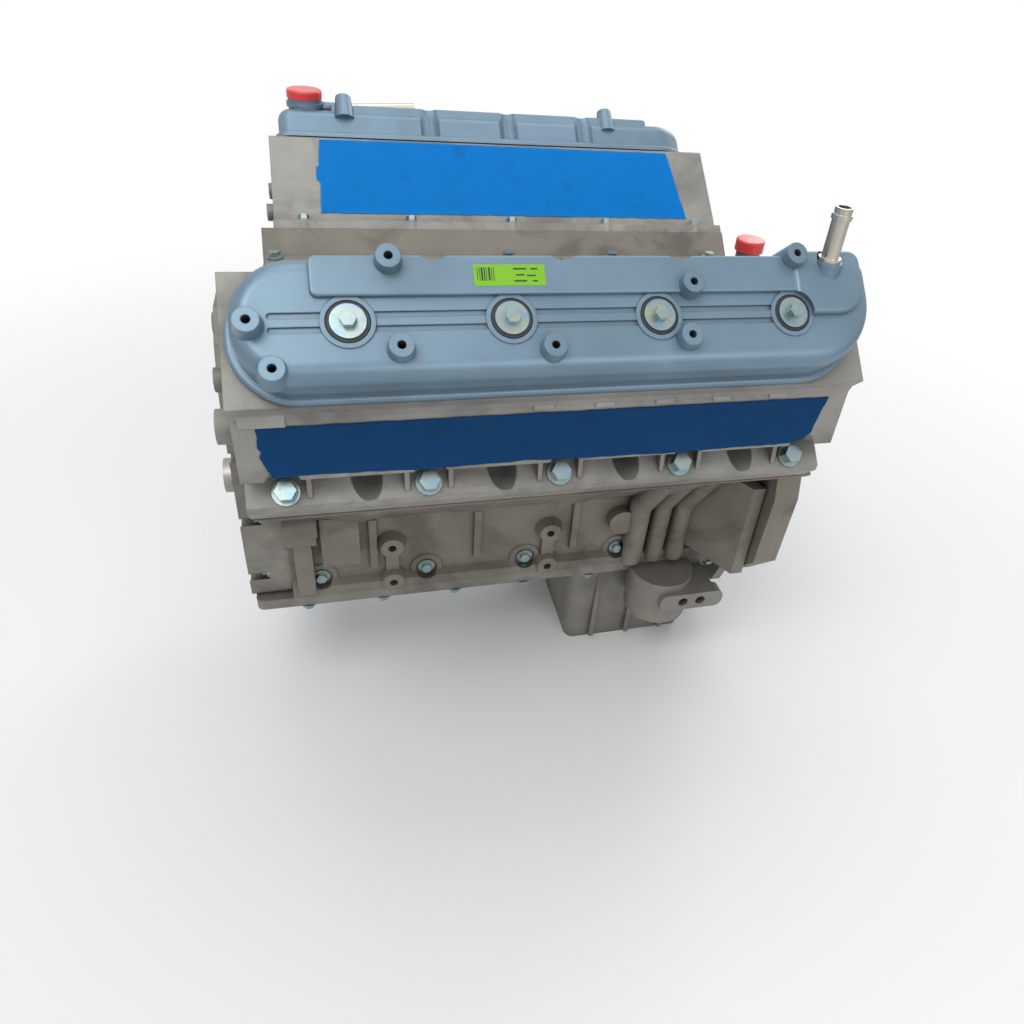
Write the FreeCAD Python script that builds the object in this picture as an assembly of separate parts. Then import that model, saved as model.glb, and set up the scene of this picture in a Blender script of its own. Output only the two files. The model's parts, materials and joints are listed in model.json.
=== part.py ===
import FreeCAD, Part
import math
import os

# Overhead-valve V8 long engine, all sizes in millimetres.
# X runs from the front of the engine to the rear, +Z is up, +Y is the right bank.
# The origin is the centre of the crankshaft's flywheel flange face.

# --- Driving dimensions: cylinders -------------------------------------------------
BORE_SPACING = 111.76
BORE = 103.25
STROKE = 92.0
ROD_LENGTH = 154.9
DECK_HEIGHT = 234.7
BANK_STAGGER = 24.4
PISTON_COMPRESSION_HEIGHT = 33.6
PISTON_BELOW_PIN = 22.0
PISTON_CLEARANCE = 0.05
WRIST_PIN_R = 11.97
LINER_WALL = 2.4
LINER_LENGTH = 137.0

# --- Driving dimensions: crankshaft ------------------------------------------------
MAIN_JOURNAL_R = 32.5
MAIN_JOURNAL_LENGTH = 26.0
ROD_JOURNAL_R = 26.67
ROD_JOURNAL_LENGTH = 49.0
COUNTERWEIGHT_R = 77.0
REAR_MAIN_X = -52.0
CRANK_FLANGE_R = 51.0
CRANK_FLANGE_THICKNESS = 14.0
FLYWHEEL_PCD = 79.0
FLYWHEEL_HOLE_R = 5.5
FLYWHEEL_HOLES = 6
PILOT_BORE_R = 10.0
PILOT_BORE_DEPTH = 24.0
SNOUT_R = 22.0
SNOUT_NOSE_R = 18.9
SNOUT_LENGTH = 80.0
SNOUT_STEP = 57.2
DAMPER_BOLT_R = 7.0
DAMPER_BOLT_DEPTH = 45.0
RUNNING_CLEARANCE = 0.04
BEARING_SHELL = 2.4
CRANK_PIN_ANGLES = (0.0, 90.0, 270.0, 180.0)

# --- Driving dimensions: camshaft and valve gear ------------------------------------
CAM_HEIGHT = 124.8
CAM_JOURNAL_R = 27.5
CAM_JOURNAL_LENGTH = 20.0
CAM_BASE_R = 19.0
LOBE_LIFT = 6.8
LOBE_HALF_ANGLE = 56.0
LOBE_WIDTH = 10.0
INTAKE_PEAK = 468.0
EXHAUST_PEAK = 245.0
ROCKER_RATIO = 1.7
LIFTER_R = 10.68
LIFTER_ROLLER_R = 9.0
LIFTER_LENGTH = 62.0
LIFTER_OFFSET = 20.3
PUSHROD_R = 4.0
VALVE_ANGLE = 12.0
VALVE_STEM_R = 4.0
INTAKE_VALVE_R = 27.5
EXHAUST_VALVE_R = 20.2
INTAKE_VALVE_OFFSET = -22.5
EXHAUST_VALVE_OFFSET = 28.0
VALVE_LENGTH = 115.0

# --- Driving dimensions: timing drive and oil pump -----------------------------------
CRANK_TEETH = 20
CAM_TEETH = 40
CHAIN_LINKS = 58
ROTOR_LOBES = 10
ROTOR_PITCH_R = 42.0
ROTOR_TOOTH_R = 8.0
ROTOR_ECCENTRICITY = 3.0
ROTOR_CLEARANCE = 0.06
ROTOR_THICKNESS = 12.0

# --- Driving dimensions: castings ----------------------------------------------------
SKIRT_HALF_WIDTH = 104.0
SKIRT_WALL = 16.0
RAIL_HALF_WIDTH = 113.0
RAIL_Z = -88.0
RAIL_THICKNESS = 12.0
BULKHEAD = 22.0
BAY_R = 92.0
BLOCK_FRONT_GAP = 30.0
BLOCK_REAR_GAP = 30.0
BELL_FACE_X = -6.0
BANK_HALF_LENGTH = 254.0
DECK_OUTER = 82.0
DECK_INNER = -108.0
BANK_WALL = 70.0
VALLEY_RAIL_Z = 216.0
HEAD_GASKET = 1.3
HEAD_HEIGHT = 118.0
COVER_GASKET = 1.5
COVER_WALL = 3.5
COVER_TOP = 41.0
COVER_INNER = -80.0
COVER_OUTER = 20.0
COVER_HALF_LENGTH = 250.0
HEAD_BOLT_R = 5.5
SMALL_BOLT_R = 4.0
HOLE_CLEARANCE = 0.15
PAN_SUMP_DEPTH = 150.0
PAN_SHALLOW_DEPTH = 32.0
PAN_WALL = 5.0
FRONT_COVER_DEPTH = 42.0

# --- Derived places --------------------------------------------------------------------
S = math.sqrt(0.5)
LEFT = -1
RIGHT = 1
THROW = STROKE / 2
MAIN_X = [REAR_MAIN_X - (4 - i) * BORE_SPACING for i in range(5)]
PIN_X = [(a + b) / 2 for a, b in zip(MAIN_X, MAIN_X[1:])]
BANK_CENTRE = {
    LEFT: sum(PIN_X) / 4 - BANK_STAGGER / 2,
    RIGHT: sum(PIN_X) / 4 + BANK_STAGGER / 2,
}
CYLINDER_LOCAL_X = [(i - 1.5) * BORE_SPACING for i in range(4)]
HEAD_BOLT_LOCAL_X = [(i - 2) * BORE_SPACING for i in range(5)]
BLOCK_FRONT_X = MAIN_X[0] - BLOCK_FRONT_GAP
BLOCK_REAR_X = MAIN_X[4] + BLOCK_REAR_GAP
WEB_THICKNESS = (BORE_SPACING - MAIN_JOURNAL_LENGTH - ROD_JOURNAL_LENGTH) / 2
HEAD_BASE = DECK_HEIGHT + HEAD_GASKET
HEAD_TOP = HEAD_BASE + HEAD_HEIGHT
COVER_BASE = HEAD_TOP + COVER_GASKET
LINER_OUTER_R = BORE / 2 + LINER_WALL
LIFTER_LINE = -CAM_HEIGHT * S
CAM_LEVEL = CAM_HEIGHT * S
OUTER_BOLT_LINE = 66.0
INNER_BOLT_LINE = -58.0
SMALL_BOLT_LINE = -96.0
LEDGE_HEIGHT = 31.0
X_AXIS = FreeCAD.Vector(1, 0, 0)
Y_AXIS = FreeCAD.Vector(0, 1, 0)
Z_AXIS = FreeCAD.Vector(0, 0, 1)
ORIGIN = FreeCAD.Vector(0, 0, 0)


# --- General helpers --------------------------------------------------------------------
def vec(x, y, z):
    return FreeCAD.Vector(x, y, z)


def box(x0, x1, y0, y1, z0, z1):
    return Part.makeBox(x1 - x0, y1 - y0, z1 - z0, vec(x0, y0, z0))


def rod(radius, start, end):
    """A round bar between two points."""
    axis = end - start
    return Part.makeCylinder(radius, axis.Length, start, axis)


def rod_x(radius, x0, x1, y=0.0, z=0.0):
    return Part.makeCylinder(radius, x1 - x0, vec(x0, y, z), X_AXIS)


def rod_z(radius, z0, z1, x=0.0, y=0.0):
    return Part.makeCylinder(radius, z1 - z0, vec(x, y, z0), Z_AXIS)


def fuse(shapes):
    shapes = list(shapes)
    return shapes[0].multiFuse(shapes[1:]) if len(shapes) > 1 else shapes[0]


def cut(shape, tools):
    tools = list(tools)
    return shape.cut(tools) if tools else shape


def prism_x(points, x0, x1):
    """A polygon given as (y, z) points, drawn out along X."""
    corners = [vec(x0, y, z) for y, z in points]
    face = Part.Face(Part.makePolygon(corners + corners[:1]))
    return face.extrude(vec(x1 - x0, 0, 0))


def prism_z(points, z0, z1):
    """A polygon given as (x, y) points, drawn up along Z."""
    corners = [vec(x, y, z0) for x, y in points]
    face = Part.Face(Part.makePolygon(corners + corners[:1]))
    return face.extrude(vec(0, 0, z1 - z0))


def rounded_outline(points, radii, z=0.0):
    """A closed wire through (x, y) corners, each rounded by its own tangent arc."""
    count = len(points)
    corners = [vec(x, y, z) for x, y in points]
    starts, ends, middles = [], [], []
    for i in range(count):
        before = (corners[i - 1] - corners[i]).normalize()
        after = (corners[(i + 1) % count] - corners[i]).normalize()
        half = before.getAngle(after) / 2
        reach = radii[i] / math.tan(half)
        starts.append(corners[i] + before * reach)
        ends.append(corners[i] + after * reach)
        bisector = (before + after).normalize()
        middles.append(corners[i] + bisector * (radii[i] / math.sin(half) - radii[i]))
    edges = []
    for i in range(count):
        edges.append(Part.Arc(starts[i], middles[i], ends[i]).toShape())
        following = starts[(i + 1) % count]
        if (following - ends[i]).Length > 0.001:
            edges.append(Part.makeLine(ends[i], following))
    return Part.Wire(edges)


def rounded_plate(points, radii, z0, z1):
    return Part.Face(rounded_outline(points, radii, z0)).extrude(vec(0, 0, z1 - z0))


def rounded_box(x0, x1, y0, y1, z0, z1, radius):
    corners = [(x0, y0), (x1, y0), (x1, y1), (x0, y1)]
    return rounded_plate(corners, [radius] * 4, z0, z1)


def stadium(r, length, z0, z1):
    """A bar with round ends of radius r, centred on the origin, long in X."""
    half = length / 2 - r
    return fuse([box(-half, half, -r, r, z0, z1), rod_z(r, z0, z1, -half), rod_z(r, z0, z1, half)])


def tube_z(outer, inner, z0, z1, x=0.0, y=0.0):
    return rod_z(outer, z0, z1, x, y).cut(rod_z(inner, z0 - 1, z1 + 1, x, y))


def tube_x(outer, inner, x0, x1, y=0.0, z=0.0):
    return rod_x(outer, x0, x1, y, z).cut(rod_x(inner, x0 - 1, x1 + 1, y, z))


def hexagon(flats, z0, z1):
    r = flats / math.sqrt(3)
    turns = [math.radians(60 * i) for i in range(6)]
    return prism_z([(r * math.cos(t), r * math.sin(t)) for t in turns], z0, z1)


def place(shape, position, direction):
    """Puts a shape whose own axis is +Z at a position, pointing along a direction."""
    placed = shape.copy()
    stand = FreeCAD.Placement(position, FreeCAD.Rotation(Z_AXIS, direction))
    placed.Placement = stand.multiply(placed.Placement)
    return placed


def turned_x(shape, degrees, y=0.0, z=0.0):
    turned = shape.copy()
    turned.rotate(vec(0, y, z), X_AXIS, degrees)
    return turned


def moved(shape, x=0.0, y=0.0, z=0.0):
    copy = shape.copy()
    copy.translate(vec(x, y, z))
    return copy


def mirrored_y(shape):
    return shape.mirror(ORIGIN, Y_AXIS)


def on_bank(shape, side):
    """Stands a shape on one bank.

    The shape is drawn with X along the engine from the bank's middle, Y towards the
    exhaust side and Z up the cylinders; the left bank is the same casting turned end
    for end, as the real heads are."""
    placed = shape.copy()
    if side == LEFT:
        placed.rotate(ORIGIN, Z_AXIS, 180)
    placed.rotate(ORIGIN, X_AXIS, -45 * side)
    placed.translate(vec(BANK_CENTRE[side], 0, 0))
    return placed


def bank_point(side, x, v, u):
    """A point on a bank from its engine X, its distance v towards the exhaust side and its height u."""
    return vec(x, side * S * (u + v), S * (u - v))


def flange_bolt(shank_r, length, flats, head, flange_r, flange=1.8):
    """A flanged hexagon bolt that seats at z = 0 and reaches down."""
    parts = [rod_z(shank_r, -length, 0.0), rod_z(flange_r, 0.0, flange), hexagon(flats, flange, head)]
    return fuse(parts)


def spline_plate(points, z0, z1):
    """A plate with one smooth closed outline through (x, y) points."""
    curve = Part.BSplineCurve()
    curve.interpolate([vec(x, y, z0) for x, y in points], PeriodicFlag=True)
    return Part.Face(Part.Wire([curve.toShape()])).extrude(vec(0, 0, z1 - z0))


def export(name, shapes):
    """Writes one node; a list of shapes becomes a group of separate solids."""
    if not isinstance(shapes, list):
        shapes = [shapes]
    solids = [solid for shape in shapes for solid in shape.Solids]
    result = solids[0] if len(solids) == 1 else Part.makeCompound(solids)
    if not result.isValid():
        print("not valid:", name)
    print(f"{name}: {len(solids)} solids, {sum(s.Volume for s in solids) / 1000:.1f} cm3")
    result.exportStep(f"parts/{name}.step")


# --- Cylinders, bearings and their places --------------------------------------------------
def cylinder_places():
    """Every cylinder as (number, side, pin index, engine X)."""
    places = []
    for pin in range(4):
        places.append((2 * pin + 1, LEFT, pin, PIN_X[pin] - BANK_STAGGER / 2))
        places.append((2 * pin + 2, RIGHT, pin, PIN_X[pin] + BANK_STAGGER / 2))
    return places


FIRING_ORDER = (1, 8, 7, 2, 6, 5, 4, 3)


def cycle_phase(number):
    """Crank degrees since this cylinder's firing top dead centre, at rest."""
    return (720 - (45 + 90 * FIRING_ORDER.index(number))) % 720


def wrist_pin_height(side, pin):
    """How far the wrist pin stands from the crankshaft's axis, from the crank angle at rest."""
    bank_angle = 45 if side == LEFT else -45
    angle = math.radians(CRANK_PIN_ANGLES[pin] - bank_angle)
    return THROW * math.cos(angle) + math.sqrt(ROD_LENGTH**2 - (THROW * math.sin(angle)) ** 2)


def crank_pin_centre(pin, x):
    angle = math.radians(CRANK_PIN_ANGLES[pin])
    return vec(x, -THROW * math.sin(angle), THROW * math.cos(angle))


# --- Engine block ----------------------------------------------------------------------------
MAIN_BORE_R = MAIN_JOURNAL_R + RUNNING_CLEARANCE + BEARING_SHELL
CAM_BORE_R = CAM_JOURNAL_R + RUNNING_CLEARANCE + BEARING_SHELL
INNER_HALF_WIDTH = SKIRT_HALF_WIDTH - SKIRT_WALL
SIDE_BOLT_Z = -68.0
CAP_BOTTOM_Z = -83.0
DOWEL_R = 6.5
DOWEL_GRIP_R = 7.0
DOWEL_STAND = 8.0
DOWEL_GRIP = 8.0
BELL_HALF_WIDTH = 197.0
FRONT_OVERHANG = 1.0
MOUNT_X = (-424.0, -250.0)
MOUNT_Z = (-78.0, -29.0)
MOUNT_FACE = 116.0
MOUNT_HOLE_R = 4.25
POCKET_HALF = 33.0
POCKET_INNER = -101.0
POCKET_OUTER = -70.0
POCKET_FLOOR = 178.0
VALLEY_HALF_WIDTH = 50.0
VALLEY_FLOOR_Z = 183.0


def bank_to_yz(v, u, side=RIGHT):
    return (side * S * (u + v), S * (u - v))


def block_section():
    """Half of the block's end view, from the pan rail round the deck to the valley."""
    rail_top = RAIL_Z + RAIL_THICKNESS
    half = [
        (RAIL_HALF_WIDTH, RAIL_Z),
        (RAIL_HALF_WIDTH, rail_top),
        (SKIRT_HALF_WIDTH, rail_top + 5),
        (SKIRT_HALF_WIDTH, SKIRT_HALF_WIDTH - BANK_WALL / S),
        bank_to_yz(BANK_WALL, DECK_HEIGHT - 16),
        bank_to_yz(DECK_OUTER, DECK_HEIGHT - 9),
        bank_to_yz(DECK_OUTER, DECK_HEIGHT),
        bank_to_yz(DECK_INNER, DECK_HEIGHT),
        bank_to_yz(DECK_INNER, VALLEY_RAIL_Z / S + DECK_INNER),
        (VALLEY_HALF_WIDTH, VALLEY_RAIL_Z),
    ]
    return half


def bank_section():
    """The upper part of one bank in end view, used where a bank runs past the crankcase."""
    corners = [
        (BANK_WALL, 120),
        (BANK_WALL, DECK_HEIGHT - 16),
        (DECK_OUTER, DECK_HEIGHT - 9),
        (DECK_OUTER, DECK_HEIGHT),
        (DECK_INNER, DECK_HEIGHT),
        (DECK_INNER, VALLEY_RAIL_Z / S + DECK_INNER),
        (DECK_INNER + 4, 182),
        (-25, 182),
        (-10, 148),
    ]
    return [bank_to_yz(v, u) for v, u in corners]


def block_body():
    half = block_section()
    outline = half + [(-y, z) for y, z in reversed(half)]
    body = prism_x(outline, BLOCK_FRONT_X, BLOCK_REAR_X)
    left = prism_x([(-y, z) for y, z in bank_section()],
                   BANK_CENTRE[LEFT] - BANK_HALF_LENGTH + FRONT_OVERHANG, BLOCK_REAR_X - 20)
    right = prism_x(bank_section(), BLOCK_FRONT_X + 20,
                    BANK_CENTRE[RIGHT] + BANK_HALF_LENGTH - FRONT_OVERHANG)
    return [body, left, right]


def bell_flange():
    """The rear flange that carries the bell housing, with its bolt ears."""
    half = [
        (50, 208), (88, 196), (120, 182), (170, 132), (187, 96),
        (BELL_HALF_WIDTH, 56), (BELL_HALF_WIDTH - 4, -34), (150, -82), (RAIL_HALF_WIDTH, RAIL_Z),
    ]
    points = half + [(-y, z) for y, z in reversed(half)]
    flange = prism_x(points, BLOCK_REAR_X - 12, BELL_FACE_X)
    inside = [(96, RAIL_Z - 1), (96, 40), (62, 120), (40, 168)]
    opening = prism_x(inside + [(-y, z) for y, z in reversed(inside)], BLOCK_REAR_X, BELL_FACE_X + 1)
    return flange.cut(opening)


def bell_bolt_places():
    half = [(60, 190), (112, 176), (172, 104), (186, 20), (156, -56)]
    return half + [(-y, z) for y, z in half]


def bell_dowel_places():
    return [(150, 140), (-150, 140)]


def jacket_bulges():
    """The water jacket's round swellings outside each cylinder."""
    bulge_r = 76.0
    shapes = []
    for _, side, _, x in cylinder_places():
        column = rod_z(bulge_r, 108, DECK_HEIGHT - 20, x - BANK_CENTRE[side])
        if side == LEFT:
            column = rod_z(bulge_r, 108, DECK_HEIGHT - 20, BANK_CENTRE[side] - x)
        outer = box(-BANK_HALF_LENGTH, BANK_HALF_LENGTH, BANK_WALL - 6, bulge_r + 1, 100, DECK_HEIGHT)
        shapes.append(on_bank(column.common(outer), side))
    return shapes


def side_bosses():
    """Bosses, mount pads and ribs on the left side of the crankcase."""
    wall = SKIRT_HALF_WIDTH - 4
    shapes = []
    for x in MOUNT_X:
        for z in MOUNT_Z:
            pad = Part.makeCone(17, 12, MOUNT_FACE - wall, vec(x, -wall, z), -Y_AXIS)
            shapes.append(pad)
        shapes.append(box(x - 7, x + 7, -wall - 9, -wall, MOUNT_Z[0], MOUNT_Z[1]))
    for x in MAIN_X:
        shapes.append(Part.makeCone(21, 17, 6, vec(x, -wall, SIDE_BOLT_Z), -Y_AXIS))
    # front corner: a round plug boss lying along the engine and a machined ledge behind it
    shapes.append(rod_x(15, BLOCK_FRONT_X, BLOCK_FRONT_X + 32, -122, 20))
    shapes.append(box(BLOCK_FRONT_X, BLOCK_FRONT_X + 30, -122, -wall + 10, -10, 30))
    shapes.append(box(BLOCK_FRONT_X + 34, BLOCK_FRONT_X + 72, -124, -wall + 10, -38, 24))
    shapes.append(box(BLOCK_FRONT_X + 6, BLOCK_FRONT_X + 24, -118, -wall, -82, -8))
    # rear corner: oil gallery columns that run down to the pan rail
    for x, r in ((-146, 13), (-118, 11), (-92, 12)):
        top = vec(x + 8, -150, 62)
        shapes.append(rod(r, vec(x, -110, -84), vec(x, -114, 0)))
        shapes.append(rod(r, vec(x, -114, 0), top))
    shapes.append(rod(16, vec(-166, -wall, -22), vec(-166, -118, -22)))
    shapes.append(prism_z([(-96, -wall), (-60, -wall), (-36, -180), (-50, -180)], -60, 60))
    return shapes


def rib(x):
    return prism_x([(SKIRT_HALF_WIDTH - 3, -60), (SKIRT_HALF_WIDTH + 5, -60),
                    (SKIRT_HALF_WIDTH + 5, 6), (SKIRT_HALF_WIDTH - 3, 6)], x - 4, x + 4)


def crankcase_cuts():
    tools = [box(BLOCK_FRONT_X - 1, BLOCK_REAR_X + 1, -INNER_HALF_WIDTH, INNER_HALF_WIDTH, RAIL_Z - 1, 0)]
    tools.append(rod_x(MAIN_BORE_R, BLOCK_FRONT_X - 1, BLOCK_REAR_X + 1))
    tools.append(rod_x(CAM_BORE_R, BLOCK_FRONT_X - 1, BLOCK_REAR_X + 1, 0, CAM_HEIGHT))
    for front, rear in zip(MAIN_X, MAIN_X[1:]):
        x0 = front + BULKHEAD / 2
        x1 = rear - BULKHEAD / 2
        tools.append(rod_x(BAY_R, x0, x1))
    chest = prism_x([(30, VALLEY_FLOOR_Z), (VALLEY_HALF_WIDTH - 2, VALLEY_FLOOR_Z + 18),
                     (VALLEY_HALF_WIDTH, VALLEY_RAIL_Z + 1), (-VALLEY_HALF_WIDTH, VALLEY_RAIL_Z + 1),
                     (2 - VALLEY_HALF_WIDTH, VALLEY_FLOOR_Z + 18), (-30, VALLEY_FLOOR_Z)],
                    BLOCK_FRONT_X + 22, BLOCK_REAR_X - 22)
    tools.append(chest)
    for x in PIN_X:
        tools.append(rod_z(9, CAM_HEIGHT, VALLEY_FLOOR_Z + 1, x))
    return tools


def bank_cuts(side):
    """Bores, lifter pockets and head bolt holes of one bank, in its own frame."""
    tools = []
    for x in CYLINDER_LOCAL_X:
        tools.append(rod_z(LINER_OUTER_R, 58, DECK_HEIGHT + 1, x))
        pocket = rounded_box(x - POCKET_HALF, x + POCKET_HALF, POCKET_INNER, POCKET_OUTER,
                             POCKET_FLOOR, DECK_HEIGHT + 1, 8)
        tools.append(pocket)
        for offset in (-LIFTER_OFFSET, LIFTER_OFFSET):
            tools.append(rod_z(LIFTER_R + 0.03, CAM_LEVEL, POCKET_FLOOR + 1, x + offset, LIFTER_LINE))
    for x in HEAD_BOLT_LOCAL_X:
        for line, radius, depth in ((OUTER_BOLT_LINE, HEAD_BOLT_R, 64), (INNER_BOLT_LINE, HEAD_BOLT_R, 64),
                                    (SMALL_BOLT_LINE, SMALL_BOLT_R, 30)):
            tools.append(rod_z(radius + HOLE_CLEARANCE, DECK_HEIGHT - depth, DECK_HEIGHT + 1, x, line))
    return [on_bank(tool, side) for tool in tools]


def face_cuts():
    """Water pump ports, core plug seats, threaded holes and dowel holes."""
    tools = []
    for side in (LEFT, RIGHT):
        front = BANK_CENTRE[side] - BANK_HALF_LENGTH - 1 if side == LEFT else BLOCK_FRONT_X - 1
        port = bank_point(side, front, 40, 180)
        tools.append(Part.makeCylinder(19, 24, port, X_AXIS))
    for y, z in bell_bolt_places():
        tools.append(rod_x(5.0, BELL_FACE_X - 20, BELL_FACE_X + 1, y, z))
    for y, z in bell_dowel_places():
        tools.append(rod_x(DOWEL_GRIP_R, BELL_FACE_X - DOWEL_GRIP, BELL_FACE_X + 1, y, z))
    for side in (LEFT, RIGHT):
        for x in MOUNT_X:
            for z in MOUNT_Z:
                mouth = vec(x, side * (MOUNT_FACE + 1), z)
                tools.append(Part.makeCylinder(MOUNT_HOLE_R, 26, mouth, Y_AXIS * -side))
        for x in MAIN_X:
            seat = vec(x, side * (SKIRT_HALF_WIDTH + 9), SIDE_BOLT_Z)
            tools.append(Part.makeCylinder(11.5, 9, seat, Y_AXIS * -side))
            tools.append(Part.makeCylinder(SMALL_BOLT_R + HOLE_CLEARANCE, 40, seat, Y_AXIS * -side))
    for x in MAIN_X:
        for y in CAP_BOLT_Y:
            tools.append(rod_z(CAP_BOLT_R + HOLE_CLEARANCE, -1, CAP_BOLT_DEPTH, x, y))
    for position, direction, length in small_bolt_places():
        hole = Part.makeCylinder(COVER_BOLT_R + HOLE_CLEARANCE, length + 2, position, -direction)
        tools.append(hole)
    tools.append(rod_x(CRANK_FLANGE_R + 3, MAIN_X[4] + BULKHEAD / 2, BLOCK_REAR_X + 1))
    tools.append(box(BLOCK_FRONT_X - 60, 20, -BELL_HALF_WIDTH, BELL_HALF_WIDTH, RAIL_Z - 60, RAIL_Z))
    return tools


CAP_BOLT_Y = (-72.0, -46.5, 46.5, 72.0)
CAP_BOLT_R = 5.0
CAP_BOLT_DEPTH = 30.0


def engine_block():
    left = side_bosses()
    right = [mirrored_y(shape) for shape in left]
    ribs = [rib(x) for x in PIN_X]
    solids = block_body() + [bell_flange()] + jacket_bulges() + left + right
    solids += ribs + [mirrored_y(r) for r in ribs]
    block = fuse(solids)
    tools = crankcase_cuts() + bank_cuts(LEFT) + bank_cuts(RIGHT) + face_cuts()
    block = cut(block, tools)
    return max(block.Solids, key=lambda s: s.Volume)


def cylinder_liners():
    bottom = DECK_HEIGHT - LINER_LENGTH
    liners = []
    for side in (LEFT, RIGHT):
        for x in CYLINDER_LOCAL_X:
            liners.append(on_bank(tube_z(LINER_OUTER_R, BORE / 2, bottom, DECK_HEIGHT, x), side))
    return liners


def main_bearing_caps():
    caps = []
    for x in MAIN_X:
        half = [(INNER_HALF_WIDTH, 0), (INNER_HALF_WIDTH, CAP_BOTTOM_Z + 24),
                (INNER_HALF_WIDTH - 4, CAP_BOTTOM_Z), (36, CAP_BOTTOM_Z), (28, CAP_BOTTOM_Z + 8)]
        outline = half + [(-y, z) for y, z in reversed(half)]
        cap = prism_x(outline, x - BULKHEAD / 2, x + BULKHEAD / 2)
        tools = [rod_x(MAIN_BORE_R, x - 20, x + 20)]
        for y in CAP_BOLT_Y:
            tools.append(rod_z(CAP_BOLT_R + HOLE_CLEARANCE, CAP_BOTTOM_Z - 1, 1, x, y))
        for side in (LEFT, RIGHT):
            mouth = vec(x, side * (INNER_HALF_WIDTH + 1), SIDE_BOLT_Z)
            tools.append(Part.makeCylinder(SMALL_BOLT_R + HOLE_CLEARANCE, 13, mouth, Y_AXIS * -side))
        caps.append(cap.cut(tools))
    return caps


def main_bearing_shells():
    """An upper and a lower half shell in each main bearing."""
    shells = []
    inner = MAIN_JOURNAL_R + RUNNING_CLEARANCE
    for x in MAIN_X:
        ring = tube_x(MAIN_BORE_R, inner, x - BULKHEAD / 2 + 0.5, x + BULKHEAD / 2 - 0.5)
        upper = box(x - 20, x + 20, -60, 60, 0.02, 60)
        lower = box(x - 20, x + 20, -60, 60, -60, -0.02)
        shells += [ring.common(upper), ring.common(lower)]
    return shells


def main_cap_bolts():
    bolts = []
    for x in MAIN_X:
        for y in CAP_BOLT_Y:
            bolt = flange_bolt(CAP_BOLT_R, CAP_BOLT_DEPTH - 4 - CAP_BOTTOM_Z, 13, 8, 9.5)
            bolts.append(place(bolt, vec(x, y, CAP_BOTTOM_Z), -Z_AXIS))
    return bolts


def side_cap_bolts():
    bolts = []
    length = SKIRT_WALL + 8
    for side in (LEFT, RIGHT):
        for x in MAIN_X:
            bolt = flange_bolt(SMALL_BOLT_R, length, 10, 6, 9)
            bolts.append(place(bolt, vec(x, side * SKIRT_HALF_WIDTH, SIDE_BOLT_Z), Y_AXIS * side))
    return bolts


def cam_bearings():
    inner = CAM_JOURNAL_R + RUNNING_CLEARANCE
    half = CAM_JOURNAL_LENGTH / 2
    return [tube_x(CAM_BORE_R, inner, x - half, x + half, 0, CAM_HEIGHT) for x in MAIN_X]


def core_plugs():
    """Pressed cups that close the block's water and oil passages."""
    plugs = []
    for side in (LEFT, RIGHT):
        front = BANK_CENTRE[side] - BANK_HALF_LENGTH + FRONT_OVERHANG if side == LEFT else BLOCK_FRONT_X
        cup = rod_z(19, 0, 7).cut(rod_z(16.5, -1, 5))
        plugs.append(place(cup, bank_point(side, front + 2, 40, 180) + X_AXIS * 7, -X_AXIS))
    return plugs


def dowel_pins():
    pins = []
    for y, z in bell_dowel_places():
        grip = rod_x(DOWEL_GRIP_R, BELL_FACE_X - DOWEL_GRIP, BELL_FACE_X, y, z)
        pins.append(grip.fuse(rod_x(DOWEL_R, BELL_FACE_X, BELL_FACE_X + DOWEL_STAND, y, z)))
    return pins


# --- Crankshaft, rods and pistons ---------------------------------------------------------------
RELUCTOR_R = 80.0
RELUCTOR_HUB_R = 60.0
RELUCTOR_THICKNESS = 3.0
RELUCTOR_TEETH = 58
ROD_BIG_END_R = 35.0
ROD_WIDTH = 23.6
ROD_SMALL_END_R = 20.0
PISTON_RING_DEPTH = 3.6


def crank_web(pin, x0, x1):
    """A web with its counterweight, drawn for a throw that points up, then turned."""
    arm = fuse([
        rod_x(46, x0, x1),
        rod_x(ROD_JOURNAL_R + 9, x0, x1, 0, THROW),
        box(x0, x1, -ROD_JOURNAL_R - 9, ROD_JOURNAL_R + 9, 0, THROW),
    ])
    weight = rod_x(COUNTERWEIGHT_R, x0, x1).common(
        prism_x([(0, 12), (84, -6), (84, -90), (-84, -90), (-84, -6)], x0, x1))
    web = arm.fuse(weight)
    trim = rod_x(COUNTERWEIGHT_R, x0 - 1, x1 + 1)
    web = web.common(trim)
    return turned_x(web, CRANK_PIN_ANGLES[pin])


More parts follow.
